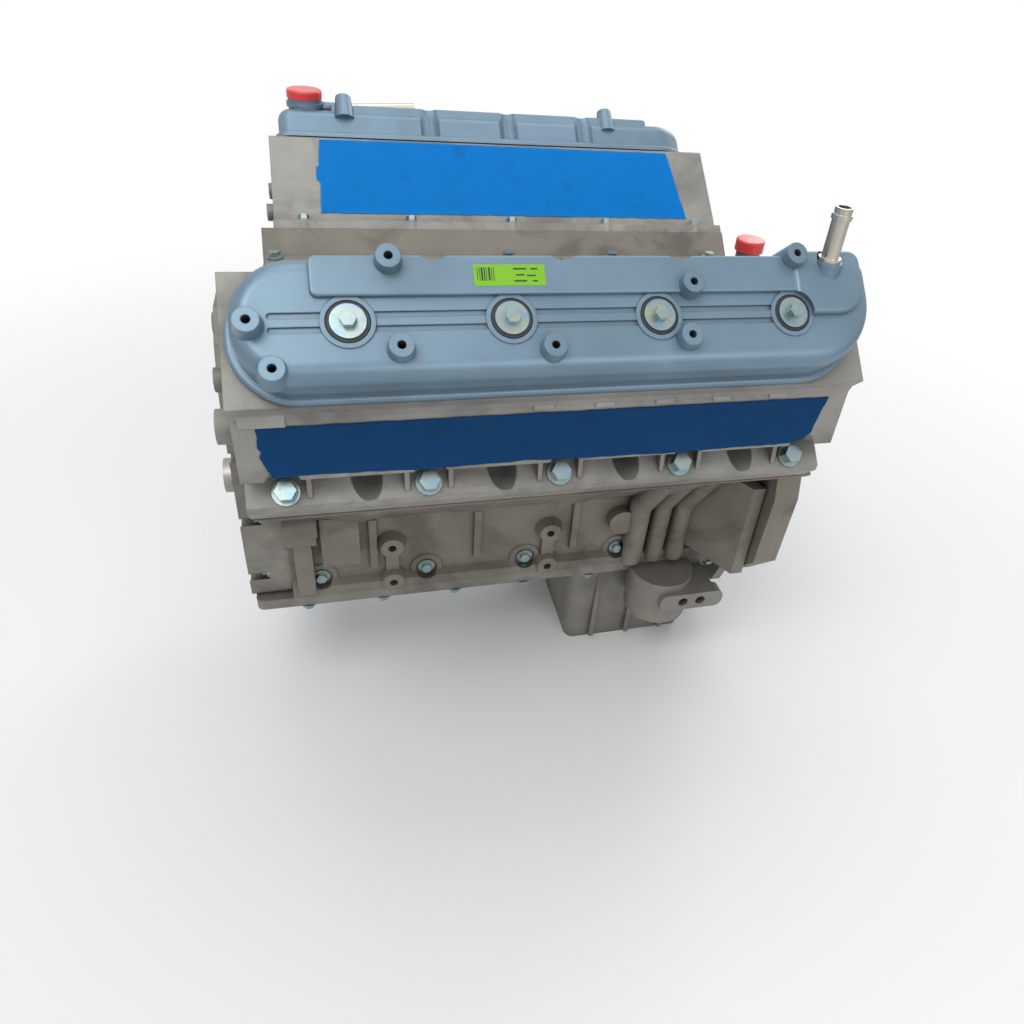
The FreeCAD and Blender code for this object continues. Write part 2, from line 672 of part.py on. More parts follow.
def crankshaft():
    parts = []
    for pin, x in enumerate(PIN_X):
        centre = crank_pin_centre(pin, x)
        half = ROD_JOURNAL_LENGTH / 2
        parts.append(rod_x(ROD_JOURNAL_R, x - half - 2, x + half + 2, centre.y, centre.z))
        parts.append(crank_web(pin, x - half - WEB_THICKNESS, x - half))
        rear = x + half + WEB_THICKNESS
        if pin == 3:
            rear -= RELUCTOR_THICKNESS
            parts.append(rod_x(RELUCTOR_HUB_R, rear, rear + RELUCTOR_THICKNESS))
        parts.append(crank_web(pin, x + half, rear))
    front = MAIN_X[0] - MAIN_JOURNAL_LENGTH / 2
    reach = MAIN_JOURNAL_LENGTH / 2 + 2
    parts += [rod_x(MAIN_JOURNAL_R, x - reach, x + reach) for x in MAIN_X]
    parts.append(rod_x(SNOUT_R, front - SNOUT_STEP, front + 1))
    parts.append(rod_x(SNOUT_NOSE_R, front - SNOUT_LENGTH, front))
    seal_land = -CRANK_FLANGE_THICKNESS - 16
    parts.append(rod_x(CRANK_FLANGE_R, seal_land, 0))
    parts.append(Part.makeCone(MAIN_JOURNAL_R, CRANK_FLANGE_R - 8, 7, vec(seal_land - 7, 0, 0), X_AXIS))
    shaft = fuse(parts)
    tools = [rod_x(PILOT_BORE_R, -PILOT_BORE_DEPTH, 1)]
    for i in range(FLYWHEEL_HOLES):
        turn = math.radians(360 / FLYWHEEL_HOLES * i)
        y = FLYWHEEL_PCD / 2 * math.sin(turn)
        z = FLYWHEEL_PCD / 2 * math.cos(turn)
        tools.append(rod_x(FLYWHEEL_HOLE_R, -CRANK_FLANGE_THICKNESS - 10, 1, y, z))
    nose = front - SNOUT_LENGTH
    tools.append(rod_x(DAMPER_BOLT_R, nose - 1, nose + DAMPER_BOLT_DEPTH))
    for pin, x in enumerate(PIN_X):
        centre = crank_pin_centre(pin, x)
        length = ROD_JOURNAL_LENGTH / 2 + WEB_THICKNESS + 1
        if pin < 3:
            tools.append(rod_x(12, x - length, x + length, centre.y, centre.z))
    return shaft.cut(tools)


def reluctor_wheel():
    """The toothed timing ring pressed on the rearmost web."""
    x1 = PIN_X[3] + ROD_JOURNAL_LENGTH / 2 + WEB_THICKNESS
    x0 = x1 - RELUCTOR_THICKNESS
    ring = tube_x(RELUCTOR_R, RELUCTOR_HUB_R, x0, x1)
    slot_half = math.pi * RELUCTOR_R / RELUCTOR_TEETH / 2
    slots = []
    for i in range(RELUCTOR_TEETH):
        slot = box(x0 - 1, x1 + 1, -slot_half, slot_half, RELUCTOR_R - 6, RELUCTOR_R + 1)
        slots.append(turned_x(slot, 360 / RELUCTOR_TEETH * i))
    return ring.cut(slots)


def connecting_rod():
    """A rod with its cap and two bolts, big end at the origin, standing up Z, its width along X."""
    half = ROD_WIDTH / 2
    big = rod_x(ROD_BIG_END_R, -half, half)
    small = rod_x(ROD_SMALL_END_R, -half + 1, half - 1, 0, ROD_LENGTH)
    beam = prism_x([(-17, 22), (17, 22), (11, ROD_LENGTH - 12), (-11, ROD_LENGTH - 12)], -10, 10)
    shoulders = box(-half, half, -ROD_BIG_END_R - 1, ROD_BIG_END_R + 1, -22, 20)
    pockets = []
    for x0, x1 in ((-11, -3.5), (3.5, 11)):
        pockets.append(prism_x([(-11, 42), (11, 42), (6.5, ROD_LENGTH - 26), (-6.5, ROD_LENGTH - 26)], x0, x1))
    body = fuse([big, small, beam, shoulders]).cut(pockets)
    bore = rod_x(ROD_JOURNAL_R + RUNNING_CLEARANCE + BEARING_SHELL, -20, 20)
    pin_bore = rod_x(WRIST_PIN_R + 0.02, -20, 20, 0, ROD_LENGTH)
    bolt_r = 4.0
    bolt_y = ROD_BIG_END_R - 1.6
    holes = [rod_z(bolt_r, -23, 16, 0, y) for y in (-bolt_y, bolt_y)]
    body = body.cut([bore, pin_bore])
    upper = body.common(box(-30, 30, -60, 60, 0.02, 250)).cut(holes)
    lower = body.common(box(-30, 30, -60, 60, -60, 0.0)).cut(holes)
    shell = tube_x(ROD_JOURNAL_R + RUNNING_CLEARANCE + BEARING_SHELL,
                   ROD_JOURNAL_R + RUNNING_CLEARANCE, -10.5, 10.5)
    bolts = []
    for y in (-bolt_y, bolt_y):
        bolt = flange_bolt(bolt_r - 0.02, 36, 8.6, 6, 5.4, 1.4)
        bolts.append(place(bolt, vec(0, y, -22), -Z_AXIS))
    return [upper, lower, shell] + bolts


def connecting_rods():
    """All eight rods at the angles that the crank position gives them."""
    rods = []
    pattern = connecting_rod()
    for number, side, pin, x in cylinder_places():
        centre = crank_pin_centre(pin, x)
        top = bank_point(side, x, 0, wrist_pin_height(side, pin))
        direction = top - centre
        angle = math.degrees(math.atan2(-direction.y, direction.z))
        for piece in pattern:
            rods.append(moved(turned_x(piece, angle), x, centre.y, centre.z))
    return rods


def piston():
    """A piston, its three rings and its wrist pin, pin axis along X at the origin."""
    r = BORE / 2 - PISTON_CLEARANCE
    crown = PISTON_COMPRESSION_HEIGHT
    body = rod_z(r, -PISTON_BELOW_PIN, crown)
    inside = rod_z(r - 5.5, -PISTON_BELOW_PIN - 1, crown - 8)
    bosses = [rod_x(18, -34, -13.5), rod_x(18, 13.5, 34),
              box(-34, -13.5, -18, 18, 0, crown - 7), box(13.5, 34, -18, 18, 0, crown - 7)]
    side_cuts = [box(-60, -33, -60, 60, -30, 14), box(33, 60, -60, 60, -30, 14)]
    rod_slot = box(-13.5, 13.5, -34, 34, -30, crown - 8)
    body = body.cut(inside).fuse(bosses).cut(side_cuts + [rod_slot])
    body = body.cut(rod_x(WRIST_PIN_R, -40, 40))
    grooves = []
    rings = []
    for top, height in ((crown - 4.0, 1.5), (crown - 9.5, 1.5), (crown - 14.5, 2.5)):
        grooves.append(tube_z(r + 1, r - PISTON_RING_DEPTH, top - height, top))
        ring = tube_z(r, r - PISTON_RING_DEPTH + 0.3, top - height + 0.03, top - 0.03)
        gap = box(r - 6, r + 1, -0.3, 0.3, top - height - 1, top + 1)
        rings.append(ring.cut(gap))
    body = body.cut(grooves)
    relief = [place(rod_z(22, -3, 6), vec(x, 16, crown - 1.2), vec(0, -0.26, 0.97)) for x in (-22, 26)]
    body = body.cut(relief)
    pin = tube_x(WRIST_PIN_R - 0.01, 7.5, -33.5, 33.5)
    return [body] + rings + [pin]


def pistons():
    """Each cylinder's piston as its own node, keyed by cylinder number."""
    pattern = piston()
    found = {}
    for number, side, pin, x in cylinder_places():
        height = wrist_pin_height(side, pin)
        local_x = (x - BANK_CENTRE[side]) * (1 if side == RIGHT else -1)
        found[number] = [on_bank(moved(piece, local_x, 0, height), side) for piece in pattern]
    return found


# --- Camshaft and valve gear --------------------------------------------------------------------
CAM_FRONT_X = BLOCK_FRONT_X - 2.0
CAM_REAR_X = MAIN_X[4] + 12.0
CAM_CORE_R = 15.0
SPRING_R = 15.5
SPRING_WIRE_R = 2.2
SEAT_HEIGHT = 9.0
VALVE_LINE = 8.0
CAVITY_FLOOR = HEAD_BASE + 86.0


def lobe_lift(degrees):
    """Follower lift at a cam angle away from the lobe's nose."""
    if abs(degrees) >= LOBE_HALF_ANGLE:
        return 0.0
    return LOBE_LIFT * (1 + math.cos(math.pi * degrees / LOBE_HALF_ANGLE)) / 2


def follower_radius(degrees):
    return CAM_BASE_R + LIFTER_ROLLER_R + lobe_lift(degrees)


def lobe_outline():
    """The lobe that a roller traces: each point lies a roller's radius inside the roller's path."""
    points = []
    for degrees in range(0, 360, 3):
        offset = (degrees + 180) % 360 - 180
        radius = follower_radius(offset)
        slope = (follower_radius(offset + 0.5) - follower_radius(offset - 0.5)) / math.radians(1)
        length = math.hypot(radius, slope)
        turn = math.radians(degrees)
        radial = (radius - LIFTER_ROLLER_R * radius / length)
        across = LIFTER_ROLLER_R * slope / length
        points.append((radial * math.cos(turn) - across * math.sin(turn),
                       radial * math.sin(turn) + across * math.cos(turn)))
    return points


def valve_train_places():
    """Every valve as (kind, side, bank X of the cylinder, engine X of the lifter, cam angle past the nose)."""
    places = []
    for number, side, pin, x in cylinder_places():
        for kind, offset, peak in (("intake", -1, INTAKE_PEAK), ("exhaust", 1, EXHAUST_PEAK)):
            past = (cycle_phase(number) - peak) / 2
            past = (past + 180) % 360 - 180
            direction = 1 if side == RIGHT else -1
            local_x = (x - BANK_CENTRE[side]) * direction
            lifter_x = x + offset * direction * LIFTER_OFFSET
            places.append((kind, side, local_x, lifter_x, past))
    return places


def camshaft():
    parts = [rod_x(CAM_CORE_R, CAM_FRONT_X, CAM_REAR_X, 0, CAM_HEIGHT)]
    half = CAM_JOURNAL_LENGTH / 2
    parts += [rod_x(CAM_JOURNAL_R, x - half, x + half, 0, CAM_HEIGHT) for x in MAIN_X]
    profile = spline_plate(lobe_outline(), -LOBE_WIDTH / 2, LOBE_WIDTH / 2)
    profile = place(profile, ORIGIN, X_AXIS)
    upright = turned_x(profile, lobe_turn(profile))
    for _, side, _, x, past in valve_train_places():
        lobe = turned_x(upright, (45 if side == LEFT else -45) + past)
        parts.append(moved(lobe, x, 0, CAM_HEIGHT))
    front = MAIN_X[0] - half
    parts.append(rod_x(CAM_JOURNAL_R - 2.5, CAM_FRONT_X, front + 1, 0, CAM_HEIGHT))
    shaft = fuse(parts)
    holes = [rod_x(4.0, CAM_FRONT_X - 1, CAM_FRONT_X + 22, *cam_bolt_place(i)) for i in range(3)]
    groove = tube_x(CAM_JOURNAL_R, CAM_JOURNAL_R - 4.5, BLOCK_FRONT_X - 0.5, BLOCK_FRONT_X + 4.5, 0, CAM_HEIGHT)
    return shaft.cut(holes + [groove])


def lobe_turn(profile):
    """The turn about X that brings the lobe's nose from where it was drawn to straight up."""
    nose = max((v.Point for v in profile.Vertexes), key=lambda p: math.hypot(p.y, p.z))
    return -math.degrees(math.atan2(-nose.y, nose.z))


def cam_bolt_place(i):
    turn = math.radians(120 * i + 60)
    return (13 * math.sin(turn), CAM_HEIGHT + 13 * math.cos(turn))


def valve_lifters():
    """Roller lifters, each standing on its own lobe at the height that the cam gives it."""
    lifters = []
    for _, side, _, x, past in valve_train_places():
        height = CAM_LEVEL + follower_radius(past)
        x_local = (x - BANK_CENTRE[side]) * (1 if side == RIGHT else -1)
        body = rod_z(LIFTER_R, height - 1, height + LIFTER_LENGTH - 10, x_local, LIFTER_LINE)
        legs = rod_z(LIFTER_R, height - 6.5, height, x_local, LIFTER_LINE)
        slot = box(x_local - 5.2, x_local + 5.2, LIFTER_LINE - 20, LIFTER_LINE + 20, height - 20, height + 10.5)
        cup = Part.makeSphere(PUSHROD_R + 0.05, vec(x_local, LIFTER_LINE, height + LIFTER_LENGTH - 10))
        groove = tube_z(LIFTER_R + 1, LIFTER_R - 1, height + 22, height + 26, x_local, LIFTER_LINE)
        body = fuse([body, legs]).cut([slot, cup, groove])
        axle = rod_x(3.4, x_local - 9, x_local + 9, LIFTER_LINE, height)
        roller = tube_x(LIFTER_ROLLER_R - 0.02, 3.45, x_local - 5, x_local + 5, LIFTER_LINE, height)
        body = body.cut(rod_x(3.4, x_local - 20, x_local + 20, LIFTER_LINE, height))
        lifters += [on_bank(piece, side) for piece in (body, axle, roller)]
    return lifters


def lifter_guides():
    """Plastic trays that keep each cylinder's pair of lifters from turning."""
    guides = []
    for side in (LEFT, RIGHT):
        for x in CYLINDER_LOCAL_X:
            tray = rounded_box(x - POCKET_HALF + 0.5, x + POCKET_HALF - 0.5, POCKET_INNER + 0.5,
                               POCKET_OUTER - 0.5, POCKET_FLOOR, POCKET_FLOOR + 14, 7.5)
            holes = [rod_z(LIFTER_R + 0.15, POCKET_FLOOR - 1, POCKET_FLOOR + 15, x + dx, LIFTER_LINE)
                     for dx in (-LIFTER_OFFSET, LIFTER_OFFSET)]
            guides.append(on_bank(tray.cut(holes), side))
    return guides


VALVE_SIN = math.sin(math.radians(VALVE_ANGLE))
VALVE_COS = math.cos(math.radians(VALVE_ANGLE))
VALVE_DIRECTION = FreeCAD.Vector(0, -VALVE_SIN, VALVE_COS)
ROCKER_VALVE_ARM = 27.0
ROCKER_PUSH_ARM = ROCKER_VALVE_ARM / ROCKER_RATIO
ROCKER_WIDTH = 14.0
TRUNNION_R = 7.0
VALVE_SEAT_ABOVE_DECK = 9.0
VALVE_TIP = vec(0, VALVE_LINE, HEAD_BASE + VALVE_SEAT_ABOVE_DECK) + VALVE_DIRECTION * VALVE_LENGTH
TRUNNION_V = VALVE_TIP.y - ROCKER_VALVE_ARM
TRUNNION_U = VALVE_TIP.z + 3.0
PUSHROD_TOP_V = TRUNNION_V - ROCKER_PUSH_ARM
PUSHROD_TOP_U = TRUNNION_U - 5.0


def valve_x(kind, local_x):
    return local_x + (INTAKE_VALVE_OFFSET if kind == "intake" else EXHAUST_VALVE_OFFSET)


def valve_foot(kind, local_x):
    return vec(valve_x(kind, local_x), VALVE_LINE, HEAD_BASE + VALVE_SEAT_ABOVE_DECK)


def valve_opening(past):
    return lobe_lift(past) * ROCKER_RATIO


def poppet_valve(radius):
    """A valve with its seat edge at z = 0 and its tip up."""
    profile = [(0, -1.2), (radius - 1, -1.2), (radius, -0.2), (radius - 1.5, 1.2), (radius * 0.45, 5.5),
               (VALVE_STEM_R + 1.5, 14), (VALVE_STEM_R, 22), (VALVE_STEM_R, VALVE_LENGTH - 0.2), (0, VALVE_LENGTH)]
    points = [vec(r, 0, z) for r, z in profile]
    face = Part.Face(Part.makePolygon(points + points[:1]))
    return face.revolve(ORIGIN, Z_AXIS, 360)


def valves(wanted):
    radius = INTAKE_VALVE_R if wanted == "intake" else EXHAUST_VALVE_R
    pattern = poppet_valve(radius)
    found = []
    for kind, side, local_x, _, past in valve_train_places():
        if kind == wanted:
            foot = valve_foot(kind, local_x) - VALVE_DIRECTION * valve_opening(past)
            found.append(on_bank(place(pattern, foot, VALVE_DIRECTION), side))
    return found


SPRING_SEAT = 62.0
RETAINER_BELOW_TIP = 9.0


def valve_spring(height):
    """A coil drawn as a stack of turns, with its retainer on top and its seat below."""
    turns = 5
    coil = Part.makeHelix((height - 2 * SPRING_WIRE_R) / turns, height - 2 * SPRING_WIRE_R,
                          SPRING_R - SPRING_WIRE_R)
    start = vec(SPRING_R - SPRING_WIRE_R, 0, 0)
    circle = Part.Wire(Part.makeCircle(SPRING_WIRE_R, start, Y_AXIS))
    wire = Part.Wire(coil.Edges)
    solid = wire.makePipeShell([circle], True, True)
    return moved(solid, 0, 0, SPRING_WIRE_R)


def valve_springs():
    pieces = []
    closed_height = VALVE_LENGTH - RETAINER_BELOW_TIP - SPRING_SEAT
    for kind, side, local_x, _, past in valve_train_places():
        opening = valve_opening(past)
        height = closed_height - opening
        spring = valve_spring(height)
        retainer = fuse([rod_z(SPRING_R, 0, 3), Part.makeCone(9, 7, 6, vec(0, 0, 3))])
        retainer = retainer.cut(rod_z(VALVE_STEM_R, -1, 10))
        foot = valve_foot(kind, local_x)
        seat = foot + VALVE_DIRECTION * SPRING_SEAT
        top = seat + VALVE_DIRECTION * height
        pieces.append(on_bank(place(spring, seat, VALVE_DIRECTION), side))
        pieces.append(on_bank(place(retainer, top, VALVE_DIRECTION), side))
    return pieces


def rocker_arm():
    """A rocker with its trunnion at the origin, valve pad towards +Y, drawn level."""
    half = ROCKER_WIDTH / 2
    outline = [(-ROCKER_PUSH_ARM - 6, -2), (-ROCKER_PUSH_ARM - 6, 6), (-8, 12), (8, 12),
               (ROCKER_VALVE_ARM + 5, 4), (ROCKER_VALVE_ARM + 5, 0.5), (8, -8), (-8, -8)]
    body = prism_x(outline, -half, half)
    hollow = prism_x([(11, -12), (11, 7), (ROCKER_VALVE_ARM - 6, 3.5), (ROCKER_VALVE_ARM - 6, -12)],
                     -half + 3, half - 3)
    bolt_slot = box(-4.6, 4.6, -8.6, 8.6, -20, 20)
    return body.cut([rod_x(TRUNNION_R + 0.03, -half - 1, half + 1), hollow, bolt_slot])


def rocker_turn(past):
    return math.degrees(lobe_lift(past) / ROCKER_PUSH_ARM)


def valve_pad():
    """The curved pad that pushes on the valve tip, and the cup over the pushrod."""
    pad = rod_x(8, -5, 5, ROCKER_VALVE_ARM, VALVE_TIP.z - TRUNNION_U + 8)
    return pad


def rocker_arms():
    arms = []
    for kind, side, local_x, _, past in valve_train_places():
        x = valve_x(kind, local_x)
        arm = rocker_arm()
        cup_place = vec(0, -ROCKER_PUSH_ARM, PUSHROD_TOP_U - TRUNNION_U)
        cup = rod_z(6.5, PUSHROD_TOP_U - TRUNNION_U, PUSHROD_TOP_U - TRUNNION_U + 8, 0, -ROCKER_PUSH_ARM)
        arm = arm.fuse([valve_pad(), cup]).cut(Part.makeSphere(PUSHROD_R + 0.1, cup_place))
        arm = turned_x(arm, -rocker_turn(past))
        arms.append(on_bank(moved(arm, x, TRUNNION_V, TRUNNION_U), side))
    return arms


def rocker_stands():
    """Pivot stands: a pedestal, the trunnion on it and the bolt that holds both, one set a valve."""
    stands = []
    foot = CAVITY_FLOOR
    for kind, side, local_x, _, _ in valve_train_places():
        x = valve_x(kind, local_x)
        trunnion = rod_x(TRUNNION_R, x - ROCKER_WIDTH / 2 - 4, x + ROCKER_WIDTH / 2 + 4, TRUNNION_V, TRUNNION_U)
        flat = box(x - 20, x + 20, TRUNNION_V - 8, TRUNNION_V + 8, TRUNNION_U + 5.5, TRUNNION_U + 9)
        hole = rod_z(4.0, foot - 40, TRUNNION_U + 20, x, TRUNNION_V)
        bolt = moved(flange_bolt(4.0, TRUNNION_U + 5.5 - foot + 18, 8, 5, 4.4, 1.0), x, TRUNNION_V, TRUNNION_U + 5.5)
        ends = []
        for dx in (-ROCKER_WIDTH / 2 - 4, ROCKER_WIDTH / 2 + 0.5):
            ends.append(box(x + dx, x + dx + 3.5, TRUNNION_V - 6, TRUNNION_V + 6, foot + 3, TRUNNION_U - 1))
        base = box(x - ROCKER_WIDTH / 2 - 4, x + ROCKER_WIDTH / 2 + 4, TRUNNION_V - 6, TRUNNION_V + 6, foot, foot + 5)
        pedestal = fuse(ends + [base]).cut([hole, trunnion])
        trunnion = trunnion.cut([flat, hole])
        stands += [on_bank(piece, side) for piece in (pedestal, trunnion, bolt)]
    return stands


def pushrod_ends(kind, side, local_x, lifter_x, past):
    """The centres of a pushrod's two ball ends in bank coordinates."""
    direction = 1 if side == RIGHT else -1
    foot = vec((lifter_x - BANK_CENTRE[side]) * direction, LIFTER_LINE,
               CAM_LEVEL + follower_radius(past) + LIFTER_LENGTH - 10)
    turn = math.radians(-rocker_turn(past))
    dy = -ROCKER_PUSH_ARM
    dz = PUSHROD_TOP_U - TRUNNION_U
    top = vec(valve_x(kind, local_x), TRUNNION_V + dy * math.cos(turn) - dz * math.sin(turn),
              TRUNNION_U + dy * math.sin(turn) + dz * math.cos(turn))
    return foot, top


def pushrods():
    rods = []
    for place_of in valve_train_places():
        foot, top = pushrod_ends(*place_of)
        stem = rod(PUSHROD_R - 0.2, foot, top)
        ends = [Part.makeSphere(PUSHROD_R, foot), Part.makeSphere(PUSHROD_R, top)]
        rods.append(on_bank(fuse([stem] + ends), place_of[1]))
    return rods


# --- Cylinder heads --------------------------------------------------------------------------------
INTAKE_FACE_LOW = (-90.0, 24.0)
INTAKE_FACE_HIGH = (COVER_INNER - 1.0, HEAD_HEIGHT - 2.0)
EXHAUST_FACE_HIGH = (23.0, 95.0)
EXHAUST_FACE_LOW = (61.0, 57.0)
INTAKE_PORT_WIDTH = 27.0
INTAKE_PORT_HEIGHT = 54.0
INTAKE_PORT_LEVEL = 52.0
EXHAUST_PORT_R = 21.0
PORT_BOWL_ABOVE_SEAT = 12.0
PORT_BOWL_HALF = 19.0
PORT_BOWL_CORNER = 12.0
PLUG_HOLE_R = 7.0
PLUG_WELL_R = 12.5
PLUG_WELL_OFFSET = -7.0
PLUG_TIP_R = 5.0
PLUG_THREAD_START = 13.0
PLUG_SEAT = 30.5
PLUG_BOSS_START = 18.0
PLUG_BOSS_LENGTH = 22.0
WEB_FROM_PLUG = 38.0
RAIL_BOLT_R = 3.0


def head_section():
    """The head's end view as (v, height above the deck)."""
    return [
        (DECK_INNER + 4, 0), (DECK_OUTER - 1, 0), (DECK_OUTER - 1, LEDGE_HEIGHT - 5), (DECK_OUTER - 5, LEDGE_HEIGHT),
        (OUTER_BOLT_LINE - 12, LEDGE_HEIGHT), (OUTER_BOLT_LINE - 14, EXHAUST_FACE_LOW[1] - 10), EXHAUST_FACE_LOW,
        EXHAUST_FACE_HIGH, (COVER_OUTER, HEAD_HEIGHT - 16), (COVER_OUTER, HEAD_HEIGHT),
        (COVER_INNER, HEAD_HEIGHT), INTAKE_FACE_HIGH, INTAKE_FACE_LOW,
        (INTAKE_FACE_LOW[0], 10), (DECK_INNER + 4, 10),
    ]


def plug_axis(x):
    """Where a spark plug's hole starts in the chamber and where its well opens outside."""
    inner = vec(x + PLUG_WELL_OFFSET * 0.3, 22, HEAD_BASE + 8)
    outer = vec(x + PLUG_WELL_OFFSET, OUTER_BOLT_LINE - 4, HEAD_BASE + LEDGE_HEIGHT + 4)
    return inner, outer


def rocker_cavity():
    rail = 7.0
    x = BANK_HALF_LENGTH - 14
    v0, v1 = COVER_INNER + rail * 0.45, COVER_OUTER - rail
    radii = [corner - 4 for corner in COVER_CORNERS]
    radii[2:] = [corner - 7 for corner in COVER_CORNERS[2:]]
    return rounded_plate([(-x, v0), (x, v0), (x, v1), (-x, v1)], radii, CAVITY_FLOOR, HEAD_TOP + 1)


def head_cuts():
    tools = [rocker_cavity()]
    for x in CYLINDER_LOCAL_X:
        tools += port_cuts(x)
        inner, outer = plug_axis(x)
        along = (outer - inner).normalize()
        thread = inner + along * PLUG_THREAD_START
        tools.append(rod(PLUG_TIP_R, inner, thread + along))
        tools.append(rod(PLUG_HOLE_R, thread, outer))
        tools.append(Part.makeCylinder(PLUG_WELL_R, 40, inner + along * PLUG_SEAT, along))
        chamber = [rod_z(30.5, HEAD_BASE - 1, HEAD_BASE + 8.0, x + INTAKE_VALVE_OFFSET + 3, VALVE_LINE),
                   rod_z(22.5, HEAD_BASE - 1, HEAD_BASE + 8.0, x + EXHAUST_VALVE_OFFSET - 1, VALVE_LINE),
                   rod_z(20, HEAD_BASE - 1, HEAD_BASE + 8.0, x + 4, 20)]
        tools += chamber
        for kind, radius in (("intake", INTAKE_VALVE_R), ("exhaust", EXHAUST_VALVE_R)):
            foot = valve_foot(kind, x)
            tools.append(Part.makeCylinder(radius + 0.6, 16.7, foot - VALVE_DIRECTION * 14.6, VALVE_DIRECTION))
            tools.append(Part.makeCylinder(radius - 3, PORT_BOWL_ABOVE_SEAT + 2, foot, VALVE_DIRECTION))
            tools.append(Part.makeCylinder(VALVE_STEM_R + 0.05, 100, foot, VALVE_DIRECTION))
            tools.append(Part.makeCylinder(SPRING_R + 1.5, 60, foot + VALVE_DIRECTION * SPRING_SEAT,
                                           VALVE_DIRECTION))
            hole = valve_x(kind, x)
            tools.append(rod_z(4.0 + HOLE_CLEARANCE, CAVITY_FLOOR - 20, CAVITY_FLOOR + 5, hole, TRUNNION_V))
    for place_of in valve_train_places():
        if place_of[1] == RIGHT:
            foot, top = pushrod_ends(*place_of)
            tools.append(rod(PUSHROD_R + 1.4, foot, top))
    for x in HEAD_BOLT_LOCAL_X:
        tools.append(rod_z(HEAD_BOLT_R + HOLE_CLEARANCE, HEAD_BASE - 1, HEAD_TOP, x, OUTER_BOLT_LINE))
        tools.append(rod_z(HEAD_BOLT_R + HOLE_CLEARANCE, HEAD_BASE - 1, HEAD_TOP, x, INNER_BOLT_LINE))
        tools.append(rod_z(12.5, INNER_SEAT, HEAD_TOP, x, INNER_BOLT_LINE))
        tools.append(rod_z(SMALL_BOLT_R + HOLE_CLEARANCE, HEAD_BASE - 1, HEAD_TOP, x, SMALL_BOLT_LINE))
        # the access notch over each outer bolt, open towards the exhaust side
        tools.append(rod_z(14, HEAD_BASE + LEDGE_HEIGHT, HEAD_BASE + EXHAUST_FACE_LOW[1] + 30, x, OUTER_BOLT_LINE))
    for x in COVER_BOLT_LOCAL_X:
        tools.append(rod_z(RAIL_BOLT_R + HOLE_CLEARANCE, CAVITY_FLOOR - 18, CAVITY_FLOOR + 30, x, COVER_BOLT_V))
    for end in (-1, 1):
        mouth = vec(end * (BANK_HALF_LENGTH + 1), -30, HEAD_BASE + 60)
        tools.append(Part.makeCylinder(END_PORT_R, 12, mouth, X_AXIS * -end))
        for v, height, _, _ in END_BOSSES:
            face = vec(end * (BANK_HALF_LENGTH + 1), v, HEAD_BASE + height)
            tools.append(Part.makeCylinder(END_HOLE_R, 18, face, X_AXIS * -end))
    return tools


INNER_SEAT = HEAD_BASE + 76.0
END_PORT_R = 14.0
END_HOLE_R = 4.2
END_BOSSES = ((-60.0, 40.0, 9.0, 8.0), (12.0, 40.0, 14.0, 16.0), (-10.0, 92.0, 9.0, 8.0))


def port_cuts(x):
    """An intake port that drops to its valve and an exhaust port that leaves to the side."""
    low, high = INTAKE_FACE_LOW, INTAKE_FACE_HIGH
    slope = math.degrees(math.atan2(high[0] - low[0], high[1] - low[1]))
    half_w, half_h = INTAKE_PORT_WIDTH / 2, INTAKE_PORT_HEIGHT / 2
    sections = []
    for v, lean in ((low[0] - 4, slope), (-56.0, 0.0)):
        window = rounded_outline([(-half_w, -half_h), (half_w, -half_h), (half_w, half_h), (-half_w, half_h)], [7] * 4)
        centre = vec(x, v, HEAD_BASE + INTAKE_PORT_LEVEL)
        window.Placement = FreeCAD.Placement(centre, FreeCAD.Rotation(X_AXIS, -90 - lean))
        sections.append(window)
    foot = valve_foot("intake", x) + VALVE_DIRECTION * PORT_BOWL_ABOVE_SEAT
    half = PORT_BOWL_HALF
    bowl = rounded_outline([(-half, -half), (half, -half), (half, half), (-half, half)], [PORT_BOWL_CORNER] * 4)
    bowl.Placement = FreeCAD.Placement(foot, FreeCAD.Rotation(X_AXIS, VALVE_ANGLE))
    intake = Part.makeLoft(sections + [bowl], True, True)
    start = valve_foot("exhaust", x) + VALVE_DIRECTION * 10
    end = vec(x + 21, 48, HEAD_BASE + 80)
    exhaust = rod(EXHAUST_PORT_R - 5, start, end)
    outlet = Part.makeCone(EXHAUST_PORT_R - 5, EXHAUST_PORT_R, 22, end - (end - start).normalize() * 20, end - start)
    return [intake, exhaust, outlet]


def end_bosses(end):
    """Threaded bosses that stand out from the end of a head that faces the front of the engine."""
    bosses = []
    for v, height, r, length in END_BOSSES:
        start = vec(end * (BANK_HALF_LENGTH - 2), v, HEAD_BASE + height)
        boss = Part.makeCylinder(r, length + 2, start, X_AXIS * end)
        bosses.append(boss.cut(Part.makeCylinder(END_HOLE_R, length + 4, start, X_AXIS * end)))
    return bosses


